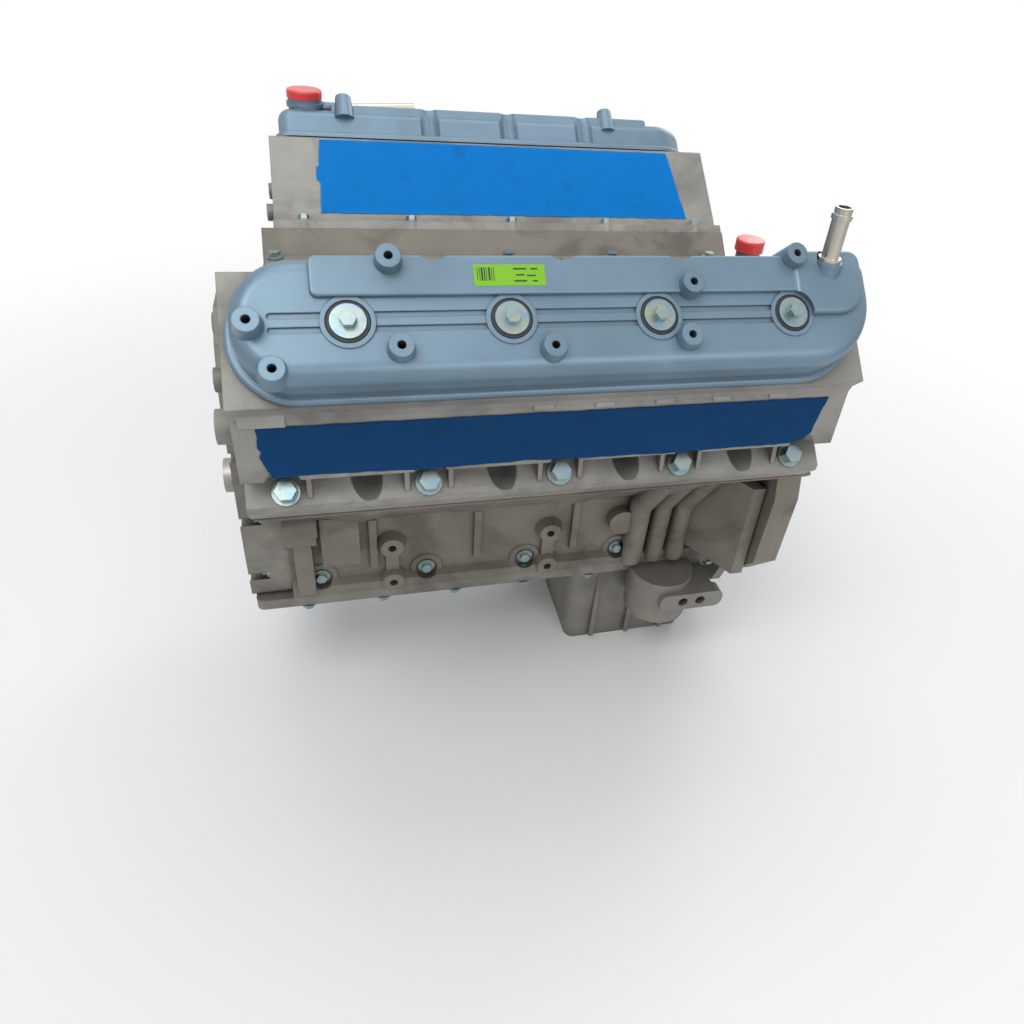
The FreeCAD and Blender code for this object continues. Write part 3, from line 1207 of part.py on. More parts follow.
def head_casting():
    """The head in bank coordinates, before its holes."""
    points = [(v, HEAD_BASE + h) for v, h in head_section()]
    body = prism_x(points, -BANK_HALF_LENGTH, BANK_HALF_LENGTH)
    parts = [body]
    for x in CYLINDER_LOCAL_X:
        # small webs on the ledge, beside the notches of the outer bolts
        for dx in (-WEB_FROM_PLUG, WEB_FROM_PLUG):
            parts.append(prism_x([(OUTER_BOLT_LINE - 18, HEAD_BASE + LEDGE_HEIGHT - 2),
                                  (OUTER_BOLT_LINE + 6, HEAD_BASE + LEDGE_HEIGHT - 2),
                                  (OUTER_BOLT_LINE + 6, HEAD_BASE + LEDGE_HEIGHT + 1),
                                  (OUTER_BOLT_LINE - 18, HEAD_BASE + EXHAUST_FACE_LOW[1] - 6)],
                                 x + dx - 2, x + dx + 2))
        inner, outer = plug_axis(x)
        along = (outer - inner).normalize()
        parts.append(Part.makeCylinder(PLUG_WELL_R + 5, PLUG_BOSS_LENGTH, inner + along * PLUG_BOSS_START, along))
    for x in HEAD_BOLT_LOCAL_X:
        parts.append(rod_z(12, HEAD_BASE, HEAD_BASE + LEDGE_HEIGHT, x, OUTER_BOLT_LINE))
        parts.append(rod_z(9, HEAD_BASE, HEAD_BASE + 11, x, SMALL_BOLT_LINE))
    body = fuse(parts)
    return body


COVER_BOLT_V = -26.0
COVER_BOLT_LOCAL_X = CYLINDER_LOCAL_X


def cylinder_heads():
    casting = head_casting().cut(head_cuts())
    casting = max(casting.Solids, key=lambda s: s.Volume)
    return {side: on_bank(casting.fuse(end_bosses(-side)), side) for side in (LEFT, RIGHT)}


def head_gaskets():
    sheet = rounded_box(-BANK_HALF_LENGTH + 2, BANK_HALF_LENGTH - 2, DECK_INNER + 5, DECK_OUTER - 2,
                        DECK_HEIGHT, HEAD_BASE, 6)
    tools = [rod_z(BORE / 2 + 0.6, DECK_HEIGHT - 1, HEAD_BASE + 1, x) for x in CYLINDER_LOCAL_X]
    for x in CYLINDER_LOCAL_X:
        tools.append(rounded_box(x - POCKET_HALF, x + POCKET_HALF, POCKET_INNER, POCKET_OUTER,
                                 DECK_HEIGHT - 1, HEAD_BASE + 1, 8))
    for x in HEAD_BOLT_LOCAL_X:
        for line, r in ((OUTER_BOLT_LINE, HEAD_BOLT_R), (INNER_BOLT_LINE, HEAD_BOLT_R), (SMALL_BOLT_LINE, SMALL_BOLT_R)):
            tools.append(rod_z(r + HOLE_CLEARANCE, DECK_HEIGHT - 1, HEAD_BASE + 1, x, line))
    sheet = sheet.cut(tools)
    return [on_bank(sheet, side) for side in (LEFT, RIGHT)]


def head_bolts():
    bolts = []
    below_deck = 58.0
    for side in (LEFT, RIGHT):
        for x in HEAD_BOLT_LOCAL_X:
            for line, seat in ((OUTER_BOLT_LINE, HEAD_BASE + LEDGE_HEIGHT), (INNER_BOLT_LINE, INNER_SEAT)):
                bolt = flange_bolt(HEAD_BOLT_R, seat - DECK_HEIGHT + below_deck, 15, 12, 11.0, 2.6)
                bolts.append(on_bank(moved(bolt, x, line, seat), side))
            small = flange_bolt(SMALL_BOLT_R, 11 + HEAD_GASKET + 24, 10, 7.5, 5.9)
            bolts.append(on_bank(moved(small, x, SMALL_BOLT_LINE, HEAD_BASE + 11), side))
    return bolts


# --- Rocker covers -----------------------------------------------------------------------------------
COVER_FLANGE_THICKNESS = 7.0
COVER_CORNERS = (20.0, 48.0, 47.0, 62.0)
COVER_BOLT_RECESS_R = 15.0
COVER_RING_R = 18.5
COVER_RING_RISE = 1.2
GROOVE_V = 5.0
GROOVE_R = 2.2
GROOVE_DEPTH = 1.8
GROOVE_REACH = (-172.0, 219.0)
PAD_X = (-188.0, 191.0)
PAD_V = (-72.0, -43.0)
PAD_RISE = 4.0
COVER_SEAT = 38.0
COIL_BOSS_HEIGHT = 55.0
COIL_BOSS_R = 8.5
COIL_HOLE_R = 3.0
COIL_BOSSES = (
    (230.4, -25, 49), (217.4, 5, 40), (138.4, -67, 51), (134.4, -6, 47),
    (28.4, -3, 47), (-76.6, -8, 47), (-82.6, -48, 49), (-172.6, -70, 50),
)
FILLER_X = -214.0
FILLER_V = -42.0
FILLER_R = 15.0


def cover_outline(grow=0.0):
    """The cover's plan: a soft corner at one end of the exhaust side and a larger one at the other."""
    x = COVER_HALF_LENGTH + grow
    v0 = COVER_INNER - grow
    v1 = COVER_OUTER + grow
    return [(-x, v0), (x, v0), (x, v1), (-x, v1)], [max(corner + grow, 4) for corner in COVER_CORNERS]


def cover_plate(grow, z0, z1):
    points, radii = cover_outline(grow)
    return rounded_plate(points, radii, z0, z1)


def domed(plate, top, radius):
    """Rounds every top edge of a plate."""
    edges = [e for e in plate.Edges if all(abs(v.Z - top) < 0.01 for v in e.Vertexes)]
    return plate.makeFillet(radius, edges)


def rocker_cover_shell():
    """The cover common to both banks, in bank coordinates."""
    top = COVER_BASE + COVER_TOP
    dome = domed(cover_plate(-6, COVER_BASE, top), top, 13)
    flange = domed(cover_plate(0, COVER_BASE, COVER_BASE + COVER_FLANGE_THICKNESS),
                   COVER_BASE + COVER_FLANGE_THICKNESS, 3)
    pad = domed(rounded_box(*PAD_X, *PAD_V, top - 12, top + PAD_RISE, 5), top + PAD_RISE, 2)
    parts = [dome, flange, pad]
    for x, v, height in COIL_BOSSES:
        base = COVER_BASE + COVER_TOP - 14
        boss_top = COVER_BASE + height + 4
        parts.append(Part.makeCone(COIL_BOSS_R + 3, COIL_BOSS_R, boss_top - base, vec(x, v, base), Z_AXIS))
    outer = fuse(parts)
    inner = domed(cover_plate(-6 - COVER_WALL, COVER_BASE - 1, top - COVER_WALL), top - COVER_WALL, 10)
    posts = [rod_z(7.5, CAVITY_FLOOR, top - 1, x, COVER_BOLT_V) for x in COVER_BOLT_LOCAL_X]
    shell = outer.cut(inner)
    tools = []
    for x in COVER_BOLT_LOCAL_X:
        tools.append(rod_z(COVER_BOLT_RECESS_R, COVER_BASE + COVER_SEAT, top + 20, x, COVER_BOLT_V))
        tools.append(rod_z(RAIL_BOLT_R + 0.6, CAVITY_FLOOR - 1, top + 20, x, COVER_BOLT_V))
    for x, v, height in COIL_BOSSES:
        tools.append(rod_z(COIL_HOLE_R, COVER_BASE + height - 14, COVER_BASE + height + 10, x, v))
    for x in (107.0, 14.0, -78.0):
        tools.append(rod_z(13, COVER_BASE + 10, top + 10, x, COVER_INNER - 1))
    middle = sum(GROOVE_REACH) / 2
    length = GROOVE_REACH[1] - GROOVE_REACH[0]
    grooves = [moved(stadium(GROOVE_R, length, top - GROOVE_DEPTH, top + 2), middle, v, 0)
               for v in (COVER_BOLT_V - GROOVE_V, COVER_BOLT_V + GROOVE_V)]
    # the rings around the bolts go in after the hollow and the grooves, which stop short of them
    rings = [rod_z(COVER_RING_R, top - 6, top + COVER_RING_RISE, x, COVER_BOLT_V) for x in COVER_BOLT_LOCAL_X]
    return fuse([shell.cut(grooves)] + posts + rings).cut(tools)


def breather_chamber():
    """The raised oil separator at one end of a cover, with the seat of its nipple."""
    top = COVER_BASE + COVER_TOP
    chamber = domed(rounded_plate([(-233, -76), (-172, -76), (-172, -24), (-233, -24)], [10, 10, 14, 24],
                                  top - 10, top + CHAMBER_RISE), top + CHAMBER_RISE, 4)
    return chamber.cut(rod_z(17, top - 30, top + 30, COVER_BOLT_LOCAL_X[0], COVER_BOLT_V))


def left_rocker_cover():
    """The left cover with its separator and the upright seat of the hose nipple."""
    shell = on_bank(rocker_cover_shell().fuse(breather_chamber()), LEFT)
    x, y = NIPPLE_PLACE
    seat = rod_z(NIPPLE_R + 4, NIPPLE_FOOT_Z - 18, NIPPLE_FOOT_Z, x, y)
    bore = rod_z(NIPPLE_R, NIPPLE_FOOT_Z - NIPPLE_GRIP, NIPPLE_FOOT_Z + 1, x, y)
    passage = rod_z(NIPPLE_R - NIPPLE_WALL, NIPPLE_FOOT_Z - 40, NIPPLE_FOOT_Z + 1, x, y)
    spot_face = rod_z(NIPPLE_R + 3, NIPPLE_FOOT_Z, NIPPLE_FOOT_Z + 30, x, y)
    return shell.fuse(seat).cut([bore, passage, spot_face])


CHAMBER_RISE = 6.0
NIPPLE_PLACE = (-84.0, -238.0)
NIPPLE_FOOT_Z = 332.0
NIPPLE_LENGTH = 42.0
NIPPLE_GRIP = 9.0
NIPPLE_WALL = 1.8
NIPPLE_R = 7.0
NECK_TOP_Z = 336.0
VENT_ABOVE_FOOT = 19.0
VENT_START = 34.0


def filler_neck_place():
    """The upright filler neck's foot on the right cover, in engine coordinates."""
    return bank_point(RIGHT, BANK_CENTRE[RIGHT] + FILLER_X, FILLER_V, COVER_BASE + COVER_TOP - 4)


def right_rocker_cover():
    shell = on_bank(rocker_cover_shell(), RIGHT)
    foot = filler_neck_place()
    inside = on_bank(cover_plate(-6 - COVER_WALL, COVER_BASE - 30, COVER_BASE + COVER_TOP - COVER_WALL), RIGHT)
    neck = rod_z(FILLER_R + 3, foot.z - 30, NECK_TOP_Z, foot.x, foot.y)
    collar = rod_z(FILLER_R + 5, NECK_TOP_Z - 9, NECK_TOP_Z - 4, foot.x, foot.y)
    vent_z = foot.z + VENT_ABOVE_FOOT
    spigot = rod(6, vec(foot.x + 6, foot.y, vent_z), vec(foot.x + VENT_START, foot.y, vent_z))
    added = fuse([neck, collar, spigot]).cut(inside)
    bore = rod_z(FILLER_R - 1.5, foot.z - 40, NECK_TOP_Z + 1, foot.x, foot.y)
    vent = rod(3.5, vec(foot.x, foot.y, vent_z), vec(foot.x + 40, foot.y, vent_z))
    shell = shell.fuse(added).cut([bore, vent])
    return max(shell.Solids, key=lambda s: s.Volume)


def rocker_cover_gaskets():
    """One rubber seal under each cover's rail."""
    ring = cover_plate(-1.5, HEAD_TOP, COVER_BASE).cut(cover_plate(-7, HEAD_TOP - 1, COVER_BASE + 1))
    return [on_bank(ring, side) for side in (LEFT, RIGHT)]


GROMMET_THICKNESS = 4.0


def cover_seat_z():
    return COVER_BASE + COVER_SEAT


def rocker_cover_grommets():
    rings = []
    for side in (LEFT, RIGHT):
        for x in COVER_BOLT_LOCAL_X:
            ring = tube_z(COVER_BOLT_RECESS_R - 0.6, RAIL_BOLT_R + 0.6, cover_seat_z(),
                          cover_seat_z() + GROMMET_THICKNESS, x, COVER_BOLT_V)
            rings.append(on_bank(ring, side))
    return rings


def rocker_cover_bolts():
    bolts = []
    seat = cover_seat_z() + GROMMET_THICKNESS
    length = seat - CAVITY_FLOOR + 14
    for side in (LEFT, RIGHT):
        for x in COVER_BOLT_LOCAL_X:
            bolt = flange_bolt(RAIL_BOLT_R, length, 10, 7.5, 12.2, 1.6)
            bolts.append(on_bank(moved(bolt, x, COVER_BOLT_V, seat), side))
    return bolts


# --- Valley cover, front and rear covers ---------------------------------------------------------------
VALLEY_COVER_THICKNESS = 6.0
VALLEY_COVER_HALF = 61.0
VALLEY_COVER_X = (BLOCK_FRONT_X + 3, BLOCK_REAR_X - 2)
VALLEY_BOLT_Y = 56.0
VALLEY_BOLT_X = [MAIN_X[0] - 18 + i * (MAIN_X[4] - MAIN_X[0] + 32) / 4 for i in range(5)]
RED_PORT = (-40.0, -34.0)
RED_PORT_R = 11.0
RED_PORT_TOP = 274.0
COVER_BOLT_R = 3.9
FRONT_LUG = 22.0


def valley_cover():
    z0 = VALLEY_RAIL_Z + COVER_GASKET
    z1 = z0 + VALLEY_COVER_THICKNESS
    x0, x1 = VALLEY_COVER_X
    plate = rounded_box(x0, x1, -VALLEY_COVER_HALF, VALLEY_COVER_HALF, z0, z1, 9)
    ribs = [box(x0 + 24, x1 - 24, y - 2, y + 2, z1 - 1, z1 + 5) for y in (-34, -17, 0, 17, 34)]
    ribs += [box(x - 2, x + 2, -44, 44, z1 - 1, z1 + 5) for x in PIN_X]
    stack = fuse([rod_z(RED_PORT_R + 2.2, z0, z1 + 10, *RED_PORT), rod_z(RED_PORT_R + 1.5, z0, RED_PORT_TOP, *RED_PORT)])
    vent = rod_z(9, z0, z1 + 16, x0 + 40, 0)
    body = fuse([plate, stack, vent] + ribs)
    tools = [rod_z(COVER_BOLT_R + HOLE_CLEARANCE, z0 - 1, z1 + 1, x, y)
             for x in VALLEY_BOLT_X for y in (-VALLEY_BOLT_Y, VALLEY_BOLT_Y)]
    tools.append(rod_z(RED_PORT_R - 3, z0 - 1, RED_PORT_TOP + 1, *RED_PORT))
    return body.cut(tools)


def valley_cover_gasket():
    x0, x1 = VALLEY_COVER_X
    sheet = rounded_box(x0 + 1, x1 - 1, 1 - VALLEY_COVER_HALF, VALLEY_COVER_HALF - 1,
                        VALLEY_RAIL_Z, VALLEY_RAIL_Z + COVER_GASKET, 8)
    inner = rounded_box(BLOCK_FRONT_X + 22, BLOCK_REAR_X - 22, -VALLEY_HALF_WIDTH, VALLEY_HALF_WIDTH,
                        VALLEY_RAIL_Z - 1, VALLEY_RAIL_Z + 5, 6)
    tools = [rod_z(COVER_BOLT_R + HOLE_CLEARANCE, VALLEY_RAIL_Z - 1, VALLEY_RAIL_Z + 5, x, y)
             for x in VALLEY_BOLT_X for y in (-VALLEY_BOLT_Y, VALLEY_BOLT_Y)]
    return sheet.cut([inner] + tools)


def small_bolt_places():
    """Every small flanged bolt of the covers and the pan as (seat, direction of its head, shank length)."""
    top = VALLEY_RAIL_Z + COVER_GASKET + VALLEY_COVER_THICKNESS
    places = [(vec(x, y, top), Z_AXIS, 19) for x in VALLEY_BOLT_X for y in (-VALLEY_BOLT_Y, VALLEY_BOLT_Y)]
    places += [(vec(BLOCK_FRONT_X - FRONT_LUG, y, z), -X_AXIS, FRONT_LUG + 14) for y, z in front_bolt_places()]
    rear = BLOCK_REAR_X + REAR_COVER_THICKNESS
    places += [(vec(rear, y, z), X_AXIS, REAR_COVER_THICKNESS + 14) for y, z in rear_bolt_places()]
    bottom = RAIL_Z - PAN_RAIL_THICKNESS
    places += [(vec(x, y, bottom), -Z_AXIS, PAN_RAIL_THICKNESS + 10) for x, y in pan_bolt_places()]
    return places


FRONT_COVER_X = BLOCK_FRONT_X - FRONT_COVER_DEPTH
FRONT_COVER_WALL = 4.0
FRONT_COVER_HALF = ((104, RAIL_Z), (104, -20), (98, 40), (92, 120), (84, 152), (60, 188), (28, 208))
SEAL_OUTER_R = 34.0
SNOUT_SEAL_R = SNOUT_NOSE_R


def front_cover_outline(shrink=0.0):
    """The timing cover's end view with rounded shoulders, as (y, z)."""
    half = [(y - shrink, z + (shrink if z == RAIL_Z else 0)) for y, z in FRONT_COVER_HALF]
    half[-1] = (half[-1][0] - shrink * 0.3, half[-1][1] - shrink)
    return half + [(-y, z) for y, z in reversed(half)]


def front_plate(outline, radius, x0, x1):
    wire = rounded_outline(outline, [radius] * len(outline), x0)
    plate = Part.Face(wire).extrude(vec(0, 0, x1 - x0))
    placed = plate.copy()
    placed.Placement = FreeCAD.Placement(ORIGIN, FreeCAD.Rotation(Y_AXIS, Z_AXIS, X_AXIS))
    return placed


def front_bolt_places():
    half = [(95, -60), (92, 10), (86, 84), (75, 158), (24, 198)]
    return half + [(-y, z) for y, z in half]


def front_cover():
    body = front_plate(front_cover_outline(), 8, FRONT_COVER_X, BLOCK_FRONT_X)
    hollow = front_plate(front_cover_outline(14), 6, FRONT_COVER_X + FRONT_COVER_WALL, BLOCK_FRONT_X + 1)
    lugs = [rod_x(9, BLOCK_FRONT_X - FRONT_LUG, BLOCK_FRONT_X, y, z) for y, z in front_bolt_places()]
    nose = tube_x(SEAL_OUTER_R + 6, SEAL_OUTER_R - 4, FRONT_COVER_X - 6, FRONT_COVER_X + FRONT_COVER_WALL)
    sensor = rod(13, vec(FRONT_COVER_X + 6, 40, CAM_HEIGHT + 34), vec(FRONT_COVER_X - 12, 40, CAM_HEIGHT + 34))
    shell = body.cut(hollow)
    ribs = []
    for degrees in (-60, -20, 20, 60):
        bar = box(FRONT_COVER_X - 3, FRONT_COVER_X + 1, -2.5, 2.5, SEAL_OUTER_R + 2, 92)
        ribs.append(turned_x(bar, degrees))
    shell = fuse([shell, nose, sensor] + lugs + ribs)
    tools = [rod_x(SEAL_OUTER_R, FRONT_COVER_X - 20, FRONT_COVER_X + 2)]
    # the foot is open to the pan between the cover's two side walls
    tools.append(box(FRONT_COVER_X + FRONT_COVER_WALL + 6, BLOCK_FRONT_X + 1, -80, 80, RAIL_Z - 1, RAIL_Z + 20))
    tools.append(rod_x(SNOUT_R + 3, FRONT_COVER_X - 20, BLOCK_FRONT_X))
    for y, z in front_bolt_places():
        tools.append(rod_x(COVER_BOLT_R + HOLE_CLEARANCE, FRONT_COVER_X - 2, BLOCK_FRONT_X + 1, y, z))
        tools.append(rod_x(10, FRONT_COVER_X - 2, BLOCK_FRONT_X - FRONT_LUG, y, z))
    return shell.cut(tools)


def front_seal():
    """A steel-cased lip seal for the balancer hub's sleeve."""
    case = tube_x(SEAL_OUTER_R, SEAL_OUTER_R - 3, FRONT_COVER_X - 6, FRONT_COVER_X + 2)
    lip = tube_x(SEAL_OUTER_R - 3, SNOUT_SEAL_R + 4, FRONT_COVER_X - 3, FRONT_COVER_X + 1)
    return case.fuse(lip)


REAR_COVER_THICKNESS = 12.0
REAR_COVER_HALF = ((88, RAIL_Z), (88, 36), (56, 114), (34, 160))
REAR_SEAL_OUTER_R = 62.0


def rear_bolt_places():
    half = [(80, -70), (80, -10), (72, 46), (50, 106), (22, 152)]
    return half + [(-y, z) for y, z in half]


def rear_cover():
    outline = list(REAR_COVER_HALF) + [(-y, z) for y, z in reversed(REAR_COVER_HALF)]
    plate = front_plate(outline, 7, BLOCK_REAR_X, BLOCK_REAR_X + REAR_COVER_THICKNESS)
    tools = [rod_x(REAR_SEAL_OUTER_R, BLOCK_REAR_X - 1, BLOCK_REAR_X + REAR_COVER_THICKNESS + 1)]
    for y, z in rear_bolt_places():
        tools.append(rod_x(COVER_BOLT_R + HOLE_CLEARANCE, BLOCK_REAR_X - 1, BLOCK_REAR_X + 20, y, z))
    return plate.cut(tools)


def rear_seal():
    outer = tube_x(REAR_SEAL_OUTER_R, REAR_SEAL_OUTER_R - 3, BLOCK_REAR_X, BLOCK_REAR_X + REAR_COVER_THICKNESS)
    lip = tube_x(REAR_SEAL_OUTER_R - 3, CRANK_FLANGE_R + 0.08, BLOCK_REAR_X + 3, BLOCK_REAR_X + 7)
    return outer.fuse(lip)


def cover_and_pan_bolts():
    """The small flanged bolts of the valley, front and rear covers and the pan."""
    bolts = []
    for position, direction, length in small_bolt_places():
        bolt = flange_bolt(COVER_BOLT_R, length, 10, 7, 8.5)
        bolts.append(place(bolt, position, direction))
    return bolts


# --- Timing drive -----------------------------------------------------------------------------------------
CHAIN_X = BLOCK_FRONT_X - 10.0
CHAIN_HALF_WIDTH = 3.2
ROLLER_R = 3.0
CHAIN_PLATE_R = 3.9
CHAIN_PLATE = 1.2
ROLLER_GAP = 0.12


def chain_pitch():
    """The pitch at which a whole even number of links closes round both sprockets."""
    pitch = 9.0
    for _ in range(60):
        small = pitch / (2 * math.sin(math.pi / CRANK_TEETH))
        large = pitch / (2 * math.sin(math.pi / CAM_TEETH))
        lean = math.asin((large - small) / CAM_HEIGHT)
        straight = CAM_HEIGHT * math.cos(lean)
        wrapped = CAM_TEETH * (math.pi + 2 * lean) + CRANK_TEETH * (math.pi - 2 * lean)
        pitch = 2 * straight / (CHAIN_LINKS - wrapped / (2 * math.pi))
    return pitch, small, large, lean


def chain_points():
    """Roller centres round the loop and the phase of each sprocket's first tooth gap."""
    pitch, small, large, lean = chain_pitch()
    straight = CAM_HEIGHT * math.cos(lean)
    large_arc = CAM_TEETH * (math.pi + 2 * lean) / (2 * math.pi) * pitch
    small_arc = CRANK_TEETH * (math.pi - 2 * lean) / (2 * math.pi) * pitch
    points = []
    for i in range(CHAIN_LINKS):
        run = i * pitch
        if run < large_arc:
            turn = math.pi / 2 + lean - run / pitch * 2 * math.pi / CAM_TEETH
            points.append((large * math.sin(turn), CAM_HEIGHT + large * math.cos(turn)))
            continue
        run -= large_arc
        if run < straight:
            turn = math.pi / 2 + lean
            start = (-large * math.sin(turn), CAM_HEIGHT + large * math.cos(turn))
            points.append((start[0] + run * math.sin(lean), start[1] - run * math.cos(lean)))
            continue
        run -= straight
        if run < small_arc:
            turn = -(math.pi / 2 + lean) - run / pitch * 2 * math.pi / CRANK_TEETH
            points.append((small * math.sin(turn), small * math.cos(turn)))
            continue
        run -= small_arc
        turn = math.pi / 2 + lean
        start = (small * math.sin(turn), small * math.cos(turn))
        points.append((start[0] + run * math.sin(lean), start[1] + run * math.cos(lean)))
    return points


def gap_phase(centre_z, radius):
    """The angle of one roller that lies on a sprocket's pitch circle."""
    for y, z in chain_points():
        if abs(math.hypot(y, z - centre_z) - radius) < 1e-6:
            return math.degrees(math.atan2(y, z - centre_z))
    return 0.0


def sprocket(teeth, radius, pitch, bore, phase, centre_z, hub_r, hub):
    """A roller-chain sprocket with seats cut to the roller and flanks that open outwards."""
    outside = pitch * (0.6 + 1 / math.tan(math.pi / teeth)) / 2
    half = CHAIN_HALF_WIDTH - 0.6
    wheel = rod_x(outside, -half, half)
    seat = ROLLER_R + ROLLER_GAP
    gaps = []
    for i in range(teeth):
        opening = prism_x([(-seat, radius), (seat, radius), (seat + 1.6, outside + 2), (-seat - 1.6, outside + 2)],
                          -half - 1, half + 1)
        gap = rod_x(seat, -half - 1, half + 1, 0, radius).fuse(opening)
        gaps.append(turned_x(gap, -phase + 360 / teeth * i))
    wheel = wheel.cut(gaps)
    wheel = wheel.fuse(rod_x(hub_r, -half - hub[0], half + hub[1])).cut(rod_x(bore, -40, 40))
    return moved(wheel, CHAIN_X, 0, centre_z)


def crank_sprocket():
    pitch, small, _, _ = chain_pitch()
    phase = gap_phase(0, small)
    return sprocket(CRANK_TEETH, small, pitch, SNOUT_R, phase, 0, 24.6, (9.3, 5.5))


def cam_sprocket():
    pitch, _, large, _ = chain_pitch()
    phase = gap_phase(CAM_HEIGHT, large)
    wheel = sprocket(CAM_TEETH, large, pitch, 8, phase, CAM_HEIGHT, 25, (0, 3))
    reach = wheel.BoundBox.XMax
    wheel = wheel.fuse(rod_x(24.5, reach - 1, CAM_FRONT_X, 0, CAM_HEIGHT)).cut(
        rod_x(8, CHAIN_X - 40, CAM_FRONT_X + 1, 0, CAM_HEIGHT))
    tools = []
    for i in range(6):
        turn = math.radians(60 * i)
        tools.append(rod_x(9, CHAIN_X - 10, CHAIN_X + 10, 41 * math.sin(turn), CAM_HEIGHT + 41 * math.cos(turn)))
    tools += [rod_x(4.2, CHAIN_X - 20, CAM_FRONT_X + 1, *cam_bolt_place(i)) for i in range(3)]
    return wheel.cut(tools)


def cam_sprocket_bolts():
    face = CHAIN_X - CHAIN_HALF_WIDTH + 0.6
    bolt = flange_bolt(3.95, CAM_FRONT_X - face + 20, 10, 6, 7)
    return [place(bolt, vec(face, *cam_bolt_place(i)), -X_AXIS) for i in range(3)]


def link_plate(a, b, x0, x1):
    along = FreeCAD.Vector(0, b[0] - a[0], b[1] - a[1])
    bar = fuse([Part.makeBox(x1 - x0, along.Length, 5.2, vec(0, 0, -2.6)),
                rod_x(CHAIN_PLATE_R, 0, x1 - x0), rod_x(CHAIN_PLATE_R, 0, x1 - x0, along.Length)])
    bar.rotate(ORIGIN, X_AXIS, math.degrees(math.atan2(along.z, along.y)))
    bar.translate(vec(x0, a[0], a[1]))
    return bar


def timing_chain():
    """Inner links with their rollers and outer links with their pins, in turn."""
    points = chain_points()
    half = CHAIN_HALF_WIDTH
    pin_r = 1.7
    links = []
    for i, a in enumerate(points):
        b = points[(i + 1) % len(points)]
        if i % 2:
            x0 = CHAIN_X + half + CHAIN_PLATE + 0.1
            plates = [link_plate(a, b, x0, x0 + CHAIN_PLATE),
                      link_plate(a, b, 2 * CHAIN_X - x0 - CHAIN_PLATE, 2 * CHAIN_X - x0)]
            pins = [rod_x(pin_r, 2 * CHAIN_X - x0 - CHAIN_PLATE, x0 + CHAIN_PLATE, y, z) for y, z in (a, b)]
            links.append(fuse(plates + pins))
        else:
            plates = [link_plate(a, b, CHAIN_X + half, CHAIN_X + half + CHAIN_PLATE),
                      link_plate(a, b, CHAIN_X - half - CHAIN_PLATE, CHAIN_X - half)]
            rollers = [rod_x(ROLLER_R, CHAIN_X - half, CHAIN_X + half, y, z) for y, z in (a, b)]
            bores = [rod_x(pin_r + 0.05, CHAIN_X - half - 5, CHAIN_X + half + 5, y, z) for y, z in (a, b)]
            links.append(fuse(plates + rollers).cut(bores))
    return links


def chain_damper():
    """The plastic block bolted between the chain's two runs."""
    pitch, small, large, lean = chain_pitch()
    x0 = CHAIN_X - 6
    z0, z1 = small + 14, CAM_HEIGHT - large - 6
    half = 20.0
    body = box(x0, CHAIN_X + 10, -half, half, z0, z1)
    holes = [rod_x(3.2, x0 - 1, BLOCK_FRONT_X + 1, y, (z0 + z1) / 2) for y in (-10, 10)]
    return body.cut(holes)


def cam_retainer_plate():
    x0 = BLOCK_FRONT_X - 4
    plate = rounded_box(-46, 46, -38, 38, 0, 4, 14)
    plate = place(plate, vec(x0, 0, CAM_HEIGHT), X_AXIS)
    ring = rod_x(CAM_JOURNAL_R - 2.0, x0 - 1, BLOCK_FRONT_X + 1, 0, CAM_HEIGHT)
    holes = [rod_x(3.2, x0 - 1, BLOCK_FRONT_X + 1, y, CAM_HEIGHT + z) for y in (-28, 28) for z in (-28, 28)]
    return plate.cut([ring] + holes)


# --- Oil pump -------------------------------------------------------------------------------------------------
PICKUP_R = 8.0
PICKUP_WALL = 1.2
PICKUP_BEND = 16.0
PICKUP_X = CHAIN_X - 2.0
PICKUP_Y = 46.0
PICKUP_TOP_Z = -54.0
PUMP_X = (CHAIN_X - 24.0, CHAIN_X - 24.0 + ROTOR_THICKNESS)
PUMP_OUTER_R = 47.0


def inner_rotor_outline():
    """The trochoid that the outer rotor's round teeth roll out, less the running clearance."""
    points = []
    teeth = ROTOR_LOBES + 1
    steps = ROTOR_LOBES * 20
    for i in range(steps):
        # points gather in the valleys, where the profile turns most sharply
        even = 2 * math.pi * i / steps
        t = even - 0.085 * math.sin(ROTOR_LOBES * even)
        x = ROTOR_PITCH_R * math.cos(t) - ROTOR_ECCENTRICITY * math.cos(teeth * t)
        y = ROTOR_PITCH_R * math.sin(t) - ROTOR_ECCENTRICITY * math.sin(teeth * t)
        dx = -ROTOR_PITCH_R * math.sin(t) + ROTOR_ECCENTRICITY * teeth * math.sin(teeth * t)
        dy = ROTOR_PITCH_R * math.cos(t) - ROTOR_ECCENTRICITY * teeth * math.cos(teeth * t)
        length = math.hypot(dx, dy)
        reach = ROTOR_TOOTH_R + ROTOR_CLEARANCE
        points.append((x - reach * dy / length, y + reach * dx / length))
    return points


def oil_pump_inner_rotor():
    profile = spline_plate(inner_rotor_outline(), 0, ROTOR_THICKNESS)
    profile = place(profile, vec(PUMP_X[0], 0, 0), X_AXIS)
    return profile.cut(rod_x(SNOUT_R, PUMP_X[0] - 1, PUMP_X[1] + 1))


def rotor_axis_z():
    return ROTOR_ECCENTRICITY


